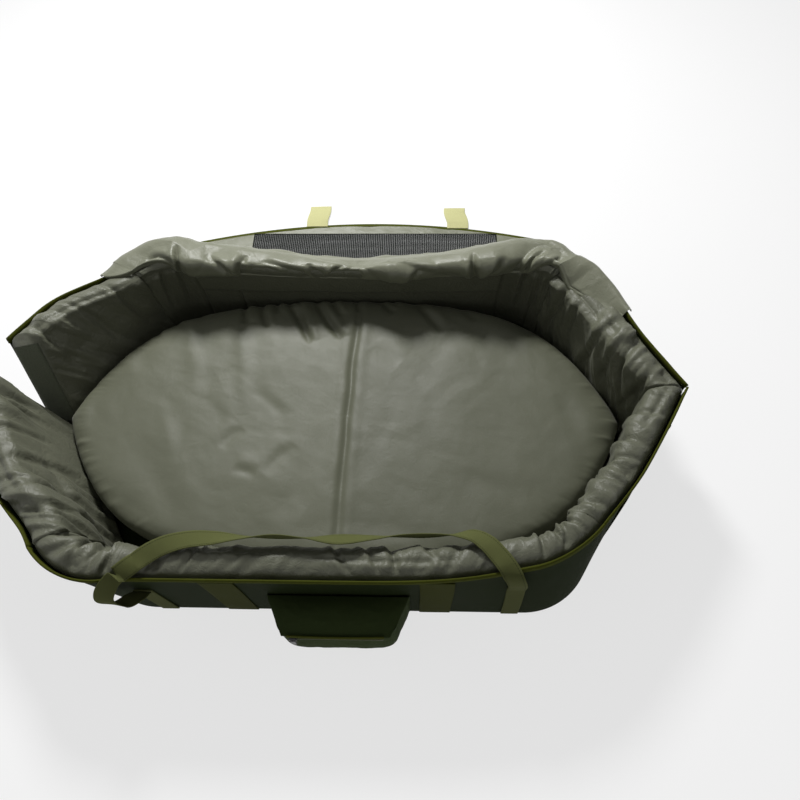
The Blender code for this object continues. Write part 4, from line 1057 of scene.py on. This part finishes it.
def share_normals(item, normals):
    """Shades a thickened strip with the whole cloth's normals, so that no seam shows where two meet."""
    mesh = item.data
    flat = normals.reshape(-1, 3)
    made = []
    for face in mesh.polygons:
        own = np.array(face.normal)
        for vertex in face.vertices:
            wanted = flat[vertex % len(flat)]
            facing = float(wanted @ own)
            made.append(tuple(own) if abs(facing) < 0.5 else tuple(wanted * math.copysign(1.0, facing)))
    mesh.normals_split_custom_set(made)


def cover_grid():
    """The whole rolled-back cloth, from its lip inside the rim to the ground behind the wall."""
    wall = LongWall("back")
    line, s, moved = cover_section(COVER_PATH, 130)
    half_span, middle, straightness = (line[:, k, None] for k in (2, 3, 4))
    g = middle + np.linspace(-1.0, 1.0, 380) * half_span
    s_all = s[:, None] * np.ones_like(g)
    hold = np.clip((s_all - 0.004) / 0.02, 0.10, 1.0) * np.clip((s[-1] - s_all - 0.01) / 0.07, 0.05, 1.0)
    relief = np.clip(cover_relief(g, s_all) * hold, -0.0100, 0.0110)
    u, v = narrowed(*moved(relief), eased(np.clip((np.abs(g) - 0.325) / 0.08, 0.0, 1.0)))
    curved = wall.point((g - wall.first) / (wall.last - wall.first), u, v)
    straight = settled(np.stack([g, HALF_WIDTH + u, v], axis=-1))
    share = straightness[..., None]
    points = curved * (1.0 - share) + straight * share
    points[..., 2] = np.maximum(points[..., 2], 0.0010)
    return points, s, line


def corner_fold(panel, reach):
    """The roll's end, drawn over the top of an end panel and tapering out."""
    _, s, moved = cover_section(COVER_PATH[:13], 74)
    s, along = grid(s, np.linspace(0.0, reach, int(reach / 0.0021)))
    t = along / reach
    g = panel.sign * (STRAIGHT + CORNER_RUN + along)
    hold = np.clip((s - 0.004) / 0.02, 0.10, 1.0) * np.clip((s[-1] - s) / 0.02, 0.15, 1.0)
    relief = np.clip(cover_relief(g, s) * hold, -0.0060, 0.0060) * (0.65 - 0.45 * t)
    u, v = narrowed(*moved(relief), 1.0)
    close = t ** 1.6
    if panel.sign > 0:
        slope = np.clip((0.004 - u) / 0.042, 0.0, 1.0) * np.clip(along / 0.035, 0.0, 1.0)
        u, v = u - 0.007 * slope, v - 0.028 * slope
    u = u * (1.0 - 0.30 * close) + np.clip(-u / 0.036, 0.0, 1.0) * 0.020 * close
    v = v + (0.2040 - v) * 0.55 * close - 0.0022 * close
    points = panel.at(along, u, v)
    item = sheet_mesh(panel.name + "_cover_fold", points, "mat_cover")
    finish_cloth(item, points)
    share_normals(item, grid_normals(points))
    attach(item, panel.body)


def finish_cloth(item, points):
    """Gives a strip of the cover its thickness, and works out its flat size."""
    thicken(item, 0.0010)
    flat_size(points)


def hem_piece():
    """The cover's sewn edge round the inside of the back wall, hanging in slack scallops."""
    wall = LongWall("back")
    limit = (STRAIGHT + CORNER_RUN * 0.95) / (STRAIGHT + CORNER_RUN)
    t, share = grid(np.linspace(0.0, 1.0, 26), (np.linspace(-limit, limit, 330) + 1.0) / 2.0)
    g = wall.run(share, 0.0, 0.0)
    end = np.clip((g - HEM_ENDS[0]) / 0.005, 0.0, 1.0) * np.clip((HEM_ENDS[1] - g) / 0.005, 0.0, 1.0)
    foot = 0.1120 + 0.002 * lattice(g, g, 0.08, 1.0, 3)
    foot = foot * end + 0.1700 * (1.0 - end)
    corner = np.clip((np.abs(g) - 0.335) / 0.06, 0.0, 1.0)
    foot = foot + (0.1880 - foot) * corner
    v = foot + (0.1960 - foot) * t
    slack = 0.0012 + crumple(g, 0.6 * v, 0.045, 71, 0.6) * 0.0035 + 0.0010 * lattice(g, v, 0.10, 0.10, 72)
    slack = slack * (0.2 + 0.8 * end) * (1.0 - corner)
    rounded = np.clip((v - 0.179) / 0.0215, 0.0, 0.8)
    hang = np.maximum(slack, -0.0010) * np.clip(3.0 * t * (1.2 - t), 0.1, 1.0)
    u = -0.0287 - 0.0243 * np.sqrt(1.0 - rounded ** 2) - hang
    points = wall.point(share, u, v)
    item = sheet_mesh("cover_hem_flap", points, "mat_lining")
    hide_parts("cover_hem")
    finish_cloth(item, points)
    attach(item, "trough")


def cover_over_rim():
    """The rolled-back cloth, split where its folding parts meet."""
    points, s, line = cover_grid()
    normals = grid_normals(points)
    lip = int(np.argmin(np.abs(line[:, 0] + 0.0400) + 10 * (line[:, 1] < 0.2)))
    top = int(np.argmin(np.abs(line[:, 0] + 0.0193) + 10 * (line[:, 1] < 0.2)))
    middle = int(np.argmin(np.abs(line[:, 1] - 0.1012)))
    parts = (
        ("cover_front_fold", 0, lip, "back_padding",
         ("trough", "cover_rim_part", (0.0, 0.2560, 0.1820), (0.0, 0.2660, 0.2060))),
        ("cover_on_rim", lip, top, "back_padding", ("cover_rim_part",)),
        ("cover_over_edge", top, middle, "back_padding",
         ("cover_rim_part", "cover_hanging_part", (0.0, 0.3080, 0.2070), (0.0, 0.3280, 0.1880))),
        ("cover_foot_bend", middle, len(s) - 1, "floor_panel",
         ("cover_hanging_part", "cover_ground_part", (0.0, 0.3560, 0.0300), (0.0, 0.3680, 0.0030))),
    )
    for name, first, last, under, ride in parts:
        strip = points[first:last + 1]
        item = sheet_mesh(name, strip, "mat_cover")
        if name == "cover_on_rim":
            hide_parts("cover_top")
        if name == "cover_over_edge":
            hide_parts("cover_drop")
        finish_cloth(item, strip)
        share_normals(item, normals[first:last + 1])
        if len(ride) == 1:
            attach(item, ride[0])
        else:
            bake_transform(item)


def edge_line(x):
    """The cover's curved far edge."""
    return FOLD_LINE_Y + END_LENGTH - EDGE_SAG * ((x - COVER_SHIFT) / END_HALF) ** 2


def ground_relief(x, y):
    """How far the cloth on the ground stands off it."""
    return rumple(x, y, 0.07, 0.05, 83) * 0.0010 + 0.0012


def cover_end_pieces():
    """The far end on the ground: fabric border, mesh window, edge tape and grip tabs."""
    strips = (  # near line, far line, left, right, columns, rows
        (BORDER_NEAR, MESH_NEAR, -COVER_HALF, COVER_HALF, 200, 16),
        (MESH_FAR, edge_line, -MESH_HALF, MESH_HALF, 200, 18),
        (shoulder, edge_line, -END_HALF, -MESH_HALF, 50, 40),
        (shoulder, edge_line, MESH_HALF, END_HALF, 50, 40),
    )
    parts = []
    for near, far, left, right, columns, rows in strips:
        t, x = grid(np.linspace(0.0, 1.0, rows), np.linspace(left, right, columns) + COVER_SHIFT)
        start, stop = (line(x) if callable(line) else line for line in (near, far))
        y = start * (1 - t) + stop * t
        z = 0.0009 + np.maximum(ground_relief(x, y), 0.0)
        parts.append(sheet_mesh("cover_border_cloth", np.stack([x, y, z], axis=-1), "mat_cover"))
    item = parts[0]
    clean_slate()
    for part in parts:
        part.select_set(True)
    bpy.context.view_layer.objects.active = item
    bpy.ops.object.join()
    clean_slate()
    with edited(item.data) as bm:
        bmesh.ops.remove_doubles(bm, verts=bm.verts, dist=0.0002)
        bmesh.ops.recalc_face_normals(bm, faces=bm.faces)
    thicken(item, 0.0010)
    hand_over(item, "cover_ground_part", "grey_lining", "cover_border")
    mesh_window()

    curve = np.linspace(-END_HALF, END_HALF, 120) + COVER_SHIFT
    path = [(x, edge_line(x) + 0.0028, 0.0018) for x in curve]
    tape = strap("cover_edge_binding", path, [(0, 1, 0)] * len(path), 0.0075, 0.0018, "mat_webbing", 240)
    hand_over(tape, "cover_ground_part", "olive_webbing", "cover_edge_tape")
    for name, x, lean in (("left", -0.102, 0.004), ("right", 0.212, -0.006)):
        low_end, high_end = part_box("cover_tab_" + name)
        start = low_end.y - 0.004
        path = [(x, start, 0.0030), (x, start + 0.02, 0.0042),
                (x + lean, start + 0.045, 0.0030), (x + lean, high_end.y, 0.0016)]
        sides = [(1, 0, 0), (1, 0.02, 0), (1, 0.05, 0.01), (1, 0.05, 0.02)]
        tab = strap("grip_tab_" + name, path, sides, TAB_WIDTH, 0.0018, "mat_tab", 40)
        hand_over(tab, "cover_ground_part", "tab_fabric", "cover_tab_" + name)


def shoulder(x):
    """Near edge of the border beside the mesh, running out along the slanted shoulder."""
    out = np.abs(x - COVER_SHIFT)
    slope = np.clip((out - COVER_HALF) / (END_HALF - COVER_HALF), 0.0, 1.0)
    return BORDER_NEAR + 0.060 * slope


def mesh_window():
    """The mesh: ribs across the window with fine cords between them."""
    over = 0.002
    left, right = COVER_SHIFT - MESH_HALF - over, COVER_SHIFT + MESH_HALF + over
    bars = [((x, MESH_NEAR - over, 0.0018), (x, MESH_FAR + over, 0.0018), 12, 0.0023)
            for x in np.linspace(-MESH_HALF, MESH_HALF, 134) + COVER_SHIFT]
    bars += [((left, y, 0.0026), (right, y, 0.0026), 60, 0.0016)
             for y in np.linspace(MESH_NEAR, MESH_FAR, 34)]
    vertices, faces, uv = [], [], []
    for start, end, steps, size in bars:
        start, end = np.array(start), np.array(end)
        side = np.cross(unit(end - start), (0, 0, 1))
        base = len(vertices)
        for i in range(steps + 1):
            middle = start + (end - start) * i / steps
            middle = middle + np.array([0, 0, float(ground_relief(middle[0], middle[1])) * 0.6])
            for a, b in ((-1, -1), (1, -1), (1, 1), (-1, 1)):
                vertices.append(tuple(middle + side * a * size / 2 + np.array([0, 0, b * 0.0005])))
        for i in range(steps):
            low, high = i * 0.008, (i + 1) * 0.008
            for j in range(4):
                a, b = base + 4 * i + j, base + 4 * i + (j + 1) % 4
                faces.append((a, b, b + 4, a + 4))
                uv += [(j * size, low), ((j + 1) * size, low), ((j + 1) * size, high), (j * size, high)]
        for cap in ([base + 3, base + 2, base + 1, base], [base + 4 * steps + j for j in range(4)]):
            faces.append(cap)
            uv += [(0, 0)] * 4
    mesh = bpy.data.meshes.new("cover_mesh_net")
    mesh.from_pydata(vertices, [], faces)
    mesh.uv_layers.new(name="UVMap").data.foreach_set("uv", np.array(uv, np.float32).ravel())
    item = link("cover_mesh_net", mesh, "mat_mesh")
    with edited(mesh) as bm:
        bmesh.ops.recalc_face_normals(bm, faces=bm.faces)
    hand_over(item, "cover_ground_part", "mesh", "cover_mesh")


# Webbing, handles, pocket and buckles

def band(name, x, replaced):
    """A wide band down the front wall's outer face, following the cloth."""
    y = -HALF_WIDTH
    path = [(x, y - 0.0012, 0.0035), (x, y - 0.0011, 0.06),
            (x + 0.001, y - 0.0013, 0.13), (x, y - 0.0013, 0.187)]
    item = strap(name, settled(path), [(1, 0, 0)] * 4, BAND_WIDTH, 0.0015, "mat_band", 60, 0.05)
    hand_over(item, "trough", "olive_webbing", replaced)


BUCKLE_LOOP = (  # the strap's way round the buckle's bar, along and outwards
    (-0.0200, -0.00295), (-0.0080, -0.00295), (0.0012, -0.00290), (0.00295, -0.0012), (0.00295, 0.0012),
    (0.0012, 0.00290), (-0.0030, 0.00255), (-0.0062, -0.00120), (-0.0110, -0.00125))
LOOSE_TAIL = (  # down from the buckle's level, out from the wall
    (0.0118, 0.0026), (0.030, 0.0040), (0.055, 0.0075), (0.080, 0.0100), (0.100, 0.0080), (0.1165, 0.0045))


def panel_straps(panel):
    """The wide band down an end panel's face, and the buckle's strap looped round its bar."""
    middle, out, level = 0.090, 0.00105, BUCKLE_LEVEL
    path = [panel.at(middle, out, v) for v in (0.0030, 0.05, 0.10, 0.15, 0.1872)]
    across = panel.at(middle + 0.025, 0.0, 0.1) - panel.at(middle, 0.0, 0.1)
    item = strap(panel.name + "_wide_band", path, [across] * 5, BAND_WIDTH, 0.0014, "mat_band", 60, 0.05)
    hand_over(item, panel.body, "olive_webbing", panel.name + "_webbing")

    half_buckle, bar, stand = 0.0165, 0.0014, 0.0026 + 0.0014
    rear = float(panel.end(0.0, level + panel.side * half_buckle, 0.0)) - 0.056
    path = [panel.at(along, out, level) for along in np.linspace(0.116, rear - 0.024, 6)]
    path += [panel.at(rear + bar + x, stand + y, level) for x, y in BUCKLE_LOOP]
    sides = [panel.at(rear, 0.0, level + 0.01) - panel.at(rear, 0.0, level)] * len(path)
    item = strap(panel.name + "_buckle_strap", path, sides, STRAP_WIDTH, 0.0012, "mat_strap", 260, 0.05)
    hand_over(item, panel.body, "olive_webbing")
    if panel.side < 0:
        start, first = rear - 0.0425, LOOSE_TAIL[0][0]
        path = [panel.at(start + 0.06 * (down - first) ** 1.5, off, level - down)
                for down, off in LOOSE_TAIL]
        side = panel.at(start + 0.01, 0.0, level) - panel.at(start, 0.0, level)
        item = strap(panel.name + "_loose_tail", path, [side] * 6, 0.0245, 0.0013, "mat_strap", 70, 0.05)
        hand_over(item, panel.body, "olive_webbing")


def ground_sheet():
    """The heavy sheet under everything, with its welted edge."""
    place, normal = corner_place(1, 1, np.linspace(0.0, CORNER_ANGLE, 12))
    corner = place - normal * 0.001
    tip = np.array([[HALF_LENGTH - 0.0013, 0.0]])
    side = np.vstack([corner[0] * [0, 1], corner[0] * [0.5, 1], corner, tip])
    top = np.vstack([side[:0:-1] * [-1, 1], side])
    ring = np.vstack([top, top[-2:0:-1] * [1, -1]])
    closed = np.vstack([ring, ring[:1]])
    run = lengths(closed)
    places = np.linspace(0.0, run[-1], 361)[:-1]
    line = np.stack([np.interp(places, run, closed[:, k]) for k in (0, 1)], axis=1)
    scale = np.array([1.0, 0.997, 0.98, 0.9, 0.75, 0.55, 0.35, 0.15, 0.01])[:, None, None]
    flat = line[None, :, :] * scale
    z = 0.0010 + 0.0003 * lattice(flat[..., 0], flat[..., 1], 0.05, 0.05, 91) * (scale[..., 0] < 0.99)
    points = np.concatenate([flat, z[..., None]], axis=-1)
    item = sheet_mesh("ground_sheet", points, "mat_outer", closed=True)
    with edited(item.data) as bm:
        inner = [edge for edge in bm.edges
                 if edge.is_boundary and all(v.co.length < 0.05 for v in edge.verts)]
        bmesh.ops.edgeloop_fill(bm, edges=inner)
        area = float(sum(face.calc_area() for face in bm.faces))
    planar_uv(item)
    thicken(item, 0.0018)
    hand_over(item, "trough", "dark_fabric", "floor_panel")


FRONT_LOOP = (  # x, inwards from the wall's face, z
    (-0.275, 0.0004, 0.128), (-0.276, -0.0012, 0.131), (-0.281, -0.0090, 0.138), (-0.296, -0.0210, 0.150),
    (-0.308, -0.0210, 0.176), (-0.292, -0.0020, 0.2030), (-0.262, 0.0240, 0.2085), (-0.232, 0.0450, 0.2090),
    (-0.198, 0.0560, 0.2088), (-0.160, 0.0590, 0.2090), (-0.120, 0.0600, 0.2095), (-0.075, 0.0620, 0.2090),
    (-0.030, 0.0610, 0.2075), (0.015, 0.0600, 0.2060), (0.060, 0.0640, 0.2020), (0.100, 0.0690, 0.1940),
    (0.140, 0.0700, 0.1900), (0.175, 0.0680, 0.1950), (0.205, 0.0620, 0.2040), (0.226, 0.0460, 0.2085),
    (0.242, 0.0270, 0.2080), (0.256, 0.0080, 0.2050), (0.266, -0.0060, 0.1930), (0.272, -0.0070, 0.1700),
    (0.275, -0.0036, 0.1500), (0.275, -0.0012, 0.1360), (0.275, 0.0004, 0.128),
)
FRONT_SIDES = (  # the direction across the strap at each point of the loop
    (1, 0, 0), (1, 0, 0), (1, -0.1, 0), (1, -0.2, 0.1), (0.9, 0.1, 0.3), (0.75, 0.55, 0.2),
    (0.6, 0.8, 0.1), (0.4, 0.9, 0.1), (0.15, 0.95, -0.2), (0, 0.85, -0.5), (0, 0.45, -0.9), (0, 0.1, -1),
    (0, 0.3, -0.95), (0, 0.7, -0.7), (0, 0.5, -0.85), (0, 0.2, -1), (0, 0.1, -1), (0, 0.3, -0.95),
    (0.2, 0.75, -0.6), (0.6, 0.75, -0.2), (0.8, 0.6, 0), (0.95, 0.3, 0), (1, 0, 0), (1, 0, 0),
    (1, 0, 0), (1, 0, 0), (1, 0, 0),
)
BACK_LOOP = (  # x, z
    (-0.275, 0.1250), (-0.277, 0.090), (-0.270, 0.058), (-0.245, 0.037), (-0.150, 0.033), (0.0, 0.034),
    (0.150, 0.033), (0.245, 0.037), (0.270, 0.058), (0.277, 0.090), (0.275, 0.1250),
)
BACK_SIDES = (
    (1, 0, 0), (1, 0, 0), (0.9, 0, -0.4), (0.4, 0, -0.9), (0, 0, -1), (0, 0, -1), (0, 0, -1),
    (-0.4, 0, -0.9), (-0.9, 0, -0.4), (-1, 0, 0), (-1, 0, 0),
)


def handles():
    """Front handle thrown over the rim with a twist, and the back one hanging under the cover."""
    face = -(HALF_WIDTH + 0.0038)
    path = settled([(x, face + inwards, z) for x, inwards, z in FRONT_LOOP])
    sides = untwisted(FRONT_SIDES)
    item = strap("front_handle_strap", path, sides, HANDLE_WIDTH, 0.0018, "mat_handle", 420)
    hand_over(item, "front_handle_strap", "handle_webbing", "front_handle")
    for name, x in (("left", -HANDLE_X), ("right", HANDLE_X)):
        path = settled([(x, -HALF_WIDTH - 0.0014, z) for z in (0.0035, 0.05, 0.09, 0.133)])
        tail = strap("handle_tail_" + name, path, [(1, 0, 0)] * 4, 0.0278, 0.0020, "mat_handle", 50, 0.1)
        hand_over(tail, "trough", "handle_webbing", "front_handle_tail_" + name)
    face, last = HALF_WIDTH + 0.0012, len(BACK_LOOP) - 1
    path = [(x, face + (0.001 if 0 < k < last else 0.0), z) for k, (x, z) in enumerate(BACK_LOOP)]
    item = strap("back_handle_strap", path, BACK_SIDES, HANDLE_WIDTH, 0.0016, "mat_handle", 260)
    hand_over(item, "back_handle_strap", "handle_webbing", "back_handle")


def untwisted(sides):
    """Turns each side vector to the half that continues the one before it."""
    made = [np.array(sides[0], float)]
    for side in sides[1:]:
        side = np.array(side, float)
        made.append(side if side @ made[-1] >= 0 else -side)
    return made


POCKET_OUTLINE = (  # seen from above: x from the pocket's middle, y from the wall
    (-0.105, 0.0), (-0.098, -0.016), (-0.090, -0.034), (-0.082, -0.050), (-0.066, -0.0575),
    (-0.030, -0.0590), (0.0, -0.0594), (0.030, -0.0590), (0.066, -0.0575), (0.082, -0.050),
    (0.090, -0.034), (0.098, -0.016), (0.105, 0.0),
)


def pocket_pieces():
    """Soft pocket body, its crowned lid with a bound edge, and its zip."""
    ground, height, depth = 0.004, 0.112, 0.058
    back = -(HALF_WIDTH + 0.0003)
    wide, narrow = 0.105, 0.078
    line = resampled(POCKET_OUTLINE, 150, axes=2)
    t, column = grid(np.linspace(0.0, 1.0, 60), np.arange(len(line)))
    x, y = line[column, 0], line[column, 1]
    bulge = np.sin(np.pi * t) * 0.0020
    bulge = bulge + rumple(x + y, t * height, 0.035, 0.05, 61) * 0.0016 * np.sin(np.pi * t) ** 0.5
    out = unit(np.stack([x / wide, np.minimum(y, -0.001) / depth], -1), 0.2)
    tuck = np.exp(-((t / 0.08) ** 2)) * 0.006
    reach = (bulge - tuck) * np.clip(-y / 0.01, 0.0, 1.0)
    x, y = POCKET_X + x + out[..., 0] * reach, back + y + out[..., 1] * reach
    points = np.stack([x, y, ground + t * height], -1)
    item = sheet_mesh("pocket_bag", points, "mat_pocket")
    with edited(item.data) as bm:
        base = [edge for edge in bm.edges
                if edge.is_boundary and all(v.co.z < ground + 0.001 for v in edge.verts)]
        feet = sorted({v for edge in base for v in edge.verts}, key=lambda v: v.co.x)
        ends = [v for v in feet if sum(edge in base for edge in v.link_edges) == 1]
        base.append(bm.edges.new((ends[0], ends[-1])))
        bmesh.ops.edgeloop_fill(bm, edges=base)
        bmesh.ops.triangulate(bm, faces=[face for face in bm.faces if len(face.verts) > 4])
    thicken(item, 0.0012)
    hand_over(item, "trough", "dark_fabric", "pocket_body")
    zip_pieces(back - depth - 0.0003)

    s, a = grid(np.linspace(0.0, 1.0, 40), np.linspace(-1.0, 1.0, 90))
    half = wide * (1 - s) + narrow * s
    crown = 0.0088 * np.sin(np.pi * s) * (1 - a ** 4)
    crown = crown + rumple(a * 0.09, s * depth, 0.030, 0.03, 67) * 0.0012 * np.sin(np.pi * s)
    top = ground + height + 0.0012
    points = np.stack([POCKET_X + half * a, back - 0.0022 - (depth - 0.001) * s, top + crown], -1)
    item = sheet_mesh("pocket_flap_cloth", points, "mat_pocket")
    thicken(item, 0.0014)
    hand_over(item, "pocket_flap", "dark_fabric", "pocket_lid")
    y = back - depth - 0.0030
    path = [(POCKET_X + q * 0.070, y + 0.0012 * q * q, top + 0.0020) for q in (-1, -0.5, 0, 0.5, 1)]
    item = strap("pocket_flap_edge", path, [(0, 0.3, 1)] * 5, 0.0060, 0.0016, "mat_webbing", 60)
    hand_over(item, "pocket_flap", "olive_webbing")


def zip_pieces(face):
    """Woven zip tape on the pocket's front, and the coil that the slider runs on."""
    level, half = 0.1077, 0.068
    path = [(POCKET_X + half * q, face - 0.0004, level) for q in np.linspace(-1.0, 1.0, 9)]
    tape = strap("zip_tape_cloth", path, [(0, 0, 1)] * 9, 0.0158, 0.0007, "mat_zip", 90, 0.02)
    hand_over(tape, "trough", "zip_tape", "pocket_zip")
    turns, steps, sides = 88, 8, 5
    t = np.linspace(0.0, math.tau * turns, turns * steps)
    x = POCKET_X - half + 2 * half * t / t[-1]
    middle = np.stack([x, face - 0.0023 + 0.0010 * np.cos(t), level + 0.0015 * np.sin(t)], -1)
    run = unit(np.gradient(middle, axis=0))
    first = unit(np.cross(run, (1.0, 0.0, 0.0)))[:, None]
    second = np.cross(run[:, None], first)
    angle = np.linspace(0.0, math.tau, sides, endpoint=False)[None, :, None]
    rings = middle[:, None] + 0.00042 * (first * np.cos(angle) + second * np.sin(angle))
    coil = sheet_mesh("zip_coil", rings, "mat_coil", closed=True, caps=True)
    hand_over(coil, "trough", "zip_tape")


def dress_hard_parts():
    """Materials for the solids that stay: buckles, zip slider and its pull."""
    names = ["zip_slider", "zip_pull"]
    names += [f"{end}_{side}_buckle_{half}" for end in ("left", "right")
              for side, half in (("front", "plug"), ("back", "socket"))]
    for name in names:
        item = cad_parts[name]
        item.data.materials.clear()
        item.data.materials.append(material("mat_plastic"))


# What the operators make

def make_walls():
    """All six walls with what is sewn to them."""
    for wall in walls():
        wall_padding(wall)
        outer_face(wall)
        rim_tape(wall)
        if isinstance(wall, EndPanel):
            closure_face(wall)
            panel_straps(wall)


def make_cover():
    """The cover, from its hem inside the back wall to its far end."""
    hem_piece()
    cover_over_rim()
    for name, reach in FOLD_REACH.items():
        corner_fold(EndPanel(name), reach)
    cover_end_pieces()


def make_webbing():
    """The front wall's bands, and the handles."""
    band("front_wide_band_left", -BAND_X, "front_band_left")
    band("front_wide_band_right", BAND_X, "front_band_right")
    handles()


def place_camera(looks):
    """The camera, aimed by its pitch, yaw and roll."""
    pitch, yaw, roll = (math.radians(a) for a in looks.camera_turn)
    forward = Vector((math.sin(yaw) * math.cos(pitch), math.cos(yaw) * math.cos(pitch), -math.sin(pitch)))
    right = Vector((math.cos(yaw), -math.sin(yaw), 0.0))
    down = forward.cross(right)
    right, down = (math.cos(roll) * right + math.sin(roll) * down,
                   math.cos(roll) * down - math.sin(roll) * right)
    data = bpy.data.cameras.new("camera")
    data.sensor_width, data.lens = 36.0, looks.lens
    data.clip_start, data.clip_end = 0.01, 50.0
    camera = bpy.data.objects.new("camera", data)
    turn = Matrix((right, -down, -forward)).transposed().to_4x4()
    turn.translation = Vector(looks.camera_place)
    camera.matrix_world = turn
    bpy.context.scene.collection.objects.link(camera)
    bpy.context.scene.camera = camera


def lamp(name, place, target, size, power):
    """A round area lamp that points at its target."""
    data = bpy.data.lights.new(name, "AREA")
    data.shape, data.size, data.energy = "DISK", size, power
    item = bpy.data.objects.new(name, data)
    item.location = place
    item.rotation_mode = "QUATERNION"
    item.rotation_quaternion = (Vector(target) - Vector(place)).to_track_quat("-Z", "Y")
    bpy.context.scene.collection.objects.link(item)


def seen_directly(tree):
    """1 for what the camera sees itself, in a reflection or through glass, else 0."""
    path = node(tree, "ShaderNodeLightPath", {})
    camera, glossy, through = (
        path.output(name) for name in ("Is Camera Ray", "Is Glossy Ray", "Is Transmission Ray"))
    return camera.maths("MINIMUM", camera + glossy + through, 1.0)


def light_world(strength):
    """A sky that is white where the camera sees it, and dimmer where it lights the mat."""
    world = bpy.data.worlds.new("studio")
    bpy.context.scene.world = world
    world.use_nodes = True
    tree = world.node_tree
    background = tree.nodes["Background"]
    connect(tree, background.inputs["Color"], (1.0, 1.0, 1.0))
    connect(tree, background.inputs["Strength"], seen_directly(tree) * (1.0 - strength) + strength)


def floor_finish():
    """Pale floor that the camera sees nearly white, with the mat's shadow kept."""
    cloth = Fabric("pale_floor")
    tree = cloth.tree
    tint = cloth.mix(cloth.noise(2.0, 2.0), (0.86, 0.86, 0.86), (0.90, 0.90, 0.90))
    cloth.feed(Base_Color=tint, Roughness=0.9)
    lit = node(tree, "ShaderNodeEmission", {}, (1.0, 1.0, 1.0), 1.0)
    surface = Wire(tree, cloth.shader.outputs[0])
    mixed = node(tree, "ShaderNodeMixShader", {}, seen_directly(tree) * 0.70, surface, lit)
    connect(tree, tree.nodes["Material Output"].inputs["Surface"], mixed)
    return cloth.material


def make_stage():
    """Camera, sky, lamps and floor."""
    looks = bpy.context.scene.stage_looks
    place_camera(looks)
    bpy.context.scene.view_settings.view_transform = "Standard"
    light_world(looks.world_strength)
    target = (0.0, 0.0, 0.1)
    lamp("key", (-0.32, 1.38, 1.52), target, 0.40, looks.key_power)
    lamp("side", (-1.5, -0.2, 1.5), target, 1.0, 1.4)
    lamp("front", (0.3, -1.9, 0.9), target, 1.2, 2.4)
    bpy.ops.mesh.primitive_plane_add(size=9.0, location=(0.0, 0.0, 0.0))
    floor = bpy.context.object
    floor.name = "floor"
    floor.data.transform(Matrix.Translation((0.0, 0.0, -0.0004)))
    floor.data.materials.append(floor_finish())
    clean_slate()


# Operators and panel

class MAT_OT_stage(bpy.types.Operator):
    """Camera, light and floor"""

    bl_idname = "unhooking_mat.stage"
    bl_label = "Stage"

    def execute(self, context):
        make_stage()
        return {"FINISHED"}


class MAT_OT_walls(bpy.types.Operator):
    """Padded walls, outer fabric, rim tape, closures and straps"""

    bl_idname = "unhooking_mat.walls"
    bl_label = "Walls"

    def execute(self, context):
        make_walls()
        return {"FINISHED"}


class MAT_OT_pad(bpy.types.Operator):
    """Crowned oval pad and the sheet under it"""

    bl_idname = "unhooking_mat.pad"
    bl_label = "Pad"

    def execute(self, context):
        pad_piece()
        ground_sheet()
        return {"FINISHED"}


class MAT_OT_cover(bpy.types.Operator):
    """Thrown-back cover with its mesh, tape and tabs"""

    bl_idname = "unhooking_mat.cover"
    bl_label = "Cover"

    def execute(self, context):
        make_cover()
        return {"FINISHED"}


class MAT_OT_webbing(bpy.types.Operator):
    """Wide bands and carrying handles"""

    bl_idname = "unhooking_mat.webbing"
    bl_label = "Webbing"

    def execute(self, context):
        make_webbing()
        return {"FINISHED"}


class MAT_OT_pocket(bpy.types.Operator):
    """Pocket bag, its lid and its zip"""

    bl_idname = "unhooking_mat.pocket"
    bl_label = "Pocket"

    def execute(self, context):
        pocket_pieces()
        return {"FINISHED"}


class MAT_OT_hard_parts(bpy.types.Operator):
    """Materials of the buckles, slider and pull"""

    bl_idname = "unhooking_mat.hard_parts"
    bl_label = "Hard parts"

    def execute(self, context):
        dress_hard_parts()
        return {"FINISHED"}


OPERATORS = (MAT_OT_stage, MAT_OT_walls, MAT_OT_pad, MAT_OT_cover,
             MAT_OT_webbing, MAT_OT_pocket, MAT_OT_hard_parts)


class MAT_PT_panel(bpy.types.Panel):
    """Sizes and colours of the mat, and its operators."""

    bl_label = "Unhooking mat"
    bl_space_type = "VIEW_3D"
    bl_region_type = "UI"
    bl_category = "Mat"

    def draw(self, context):
        for group in (context.scene.mat_looks, context.scene.stage_looks):
            for name in group.bl_rna.properties.keys():
                if name not in ("rna_type", "name"):
                    self.layout.prop(group, name)
        for operator in OPERATORS:
            self.layout.operator(operator.bl_idname)


CLASSES = (MatLooks, StageLooks, *OPERATORS, MAT_PT_panel)


def register():
    for item in CLASSES:
        bpy.utils.register_class(item)
    bpy.types.Scene.mat_looks = bpy.props.PointerProperty(type=MatLooks)
    bpy.types.Scene.stage_looks = bpy.props.PointerProperty(type=StageLooks)


def unregister():
    del bpy.types.Scene.mat_looks
    del bpy.types.Scene.stage_looks
    for item in reversed(CLASSES):
        bpy.utils.unregister_class(item)


def main():
    register()
    clean_slate()
    for operator in OPERATORS:
        getattr(bpy.ops.unhooking_mat, operator.bl_idname.split(".")[1])()


if __name__ == "__main__":
    main()
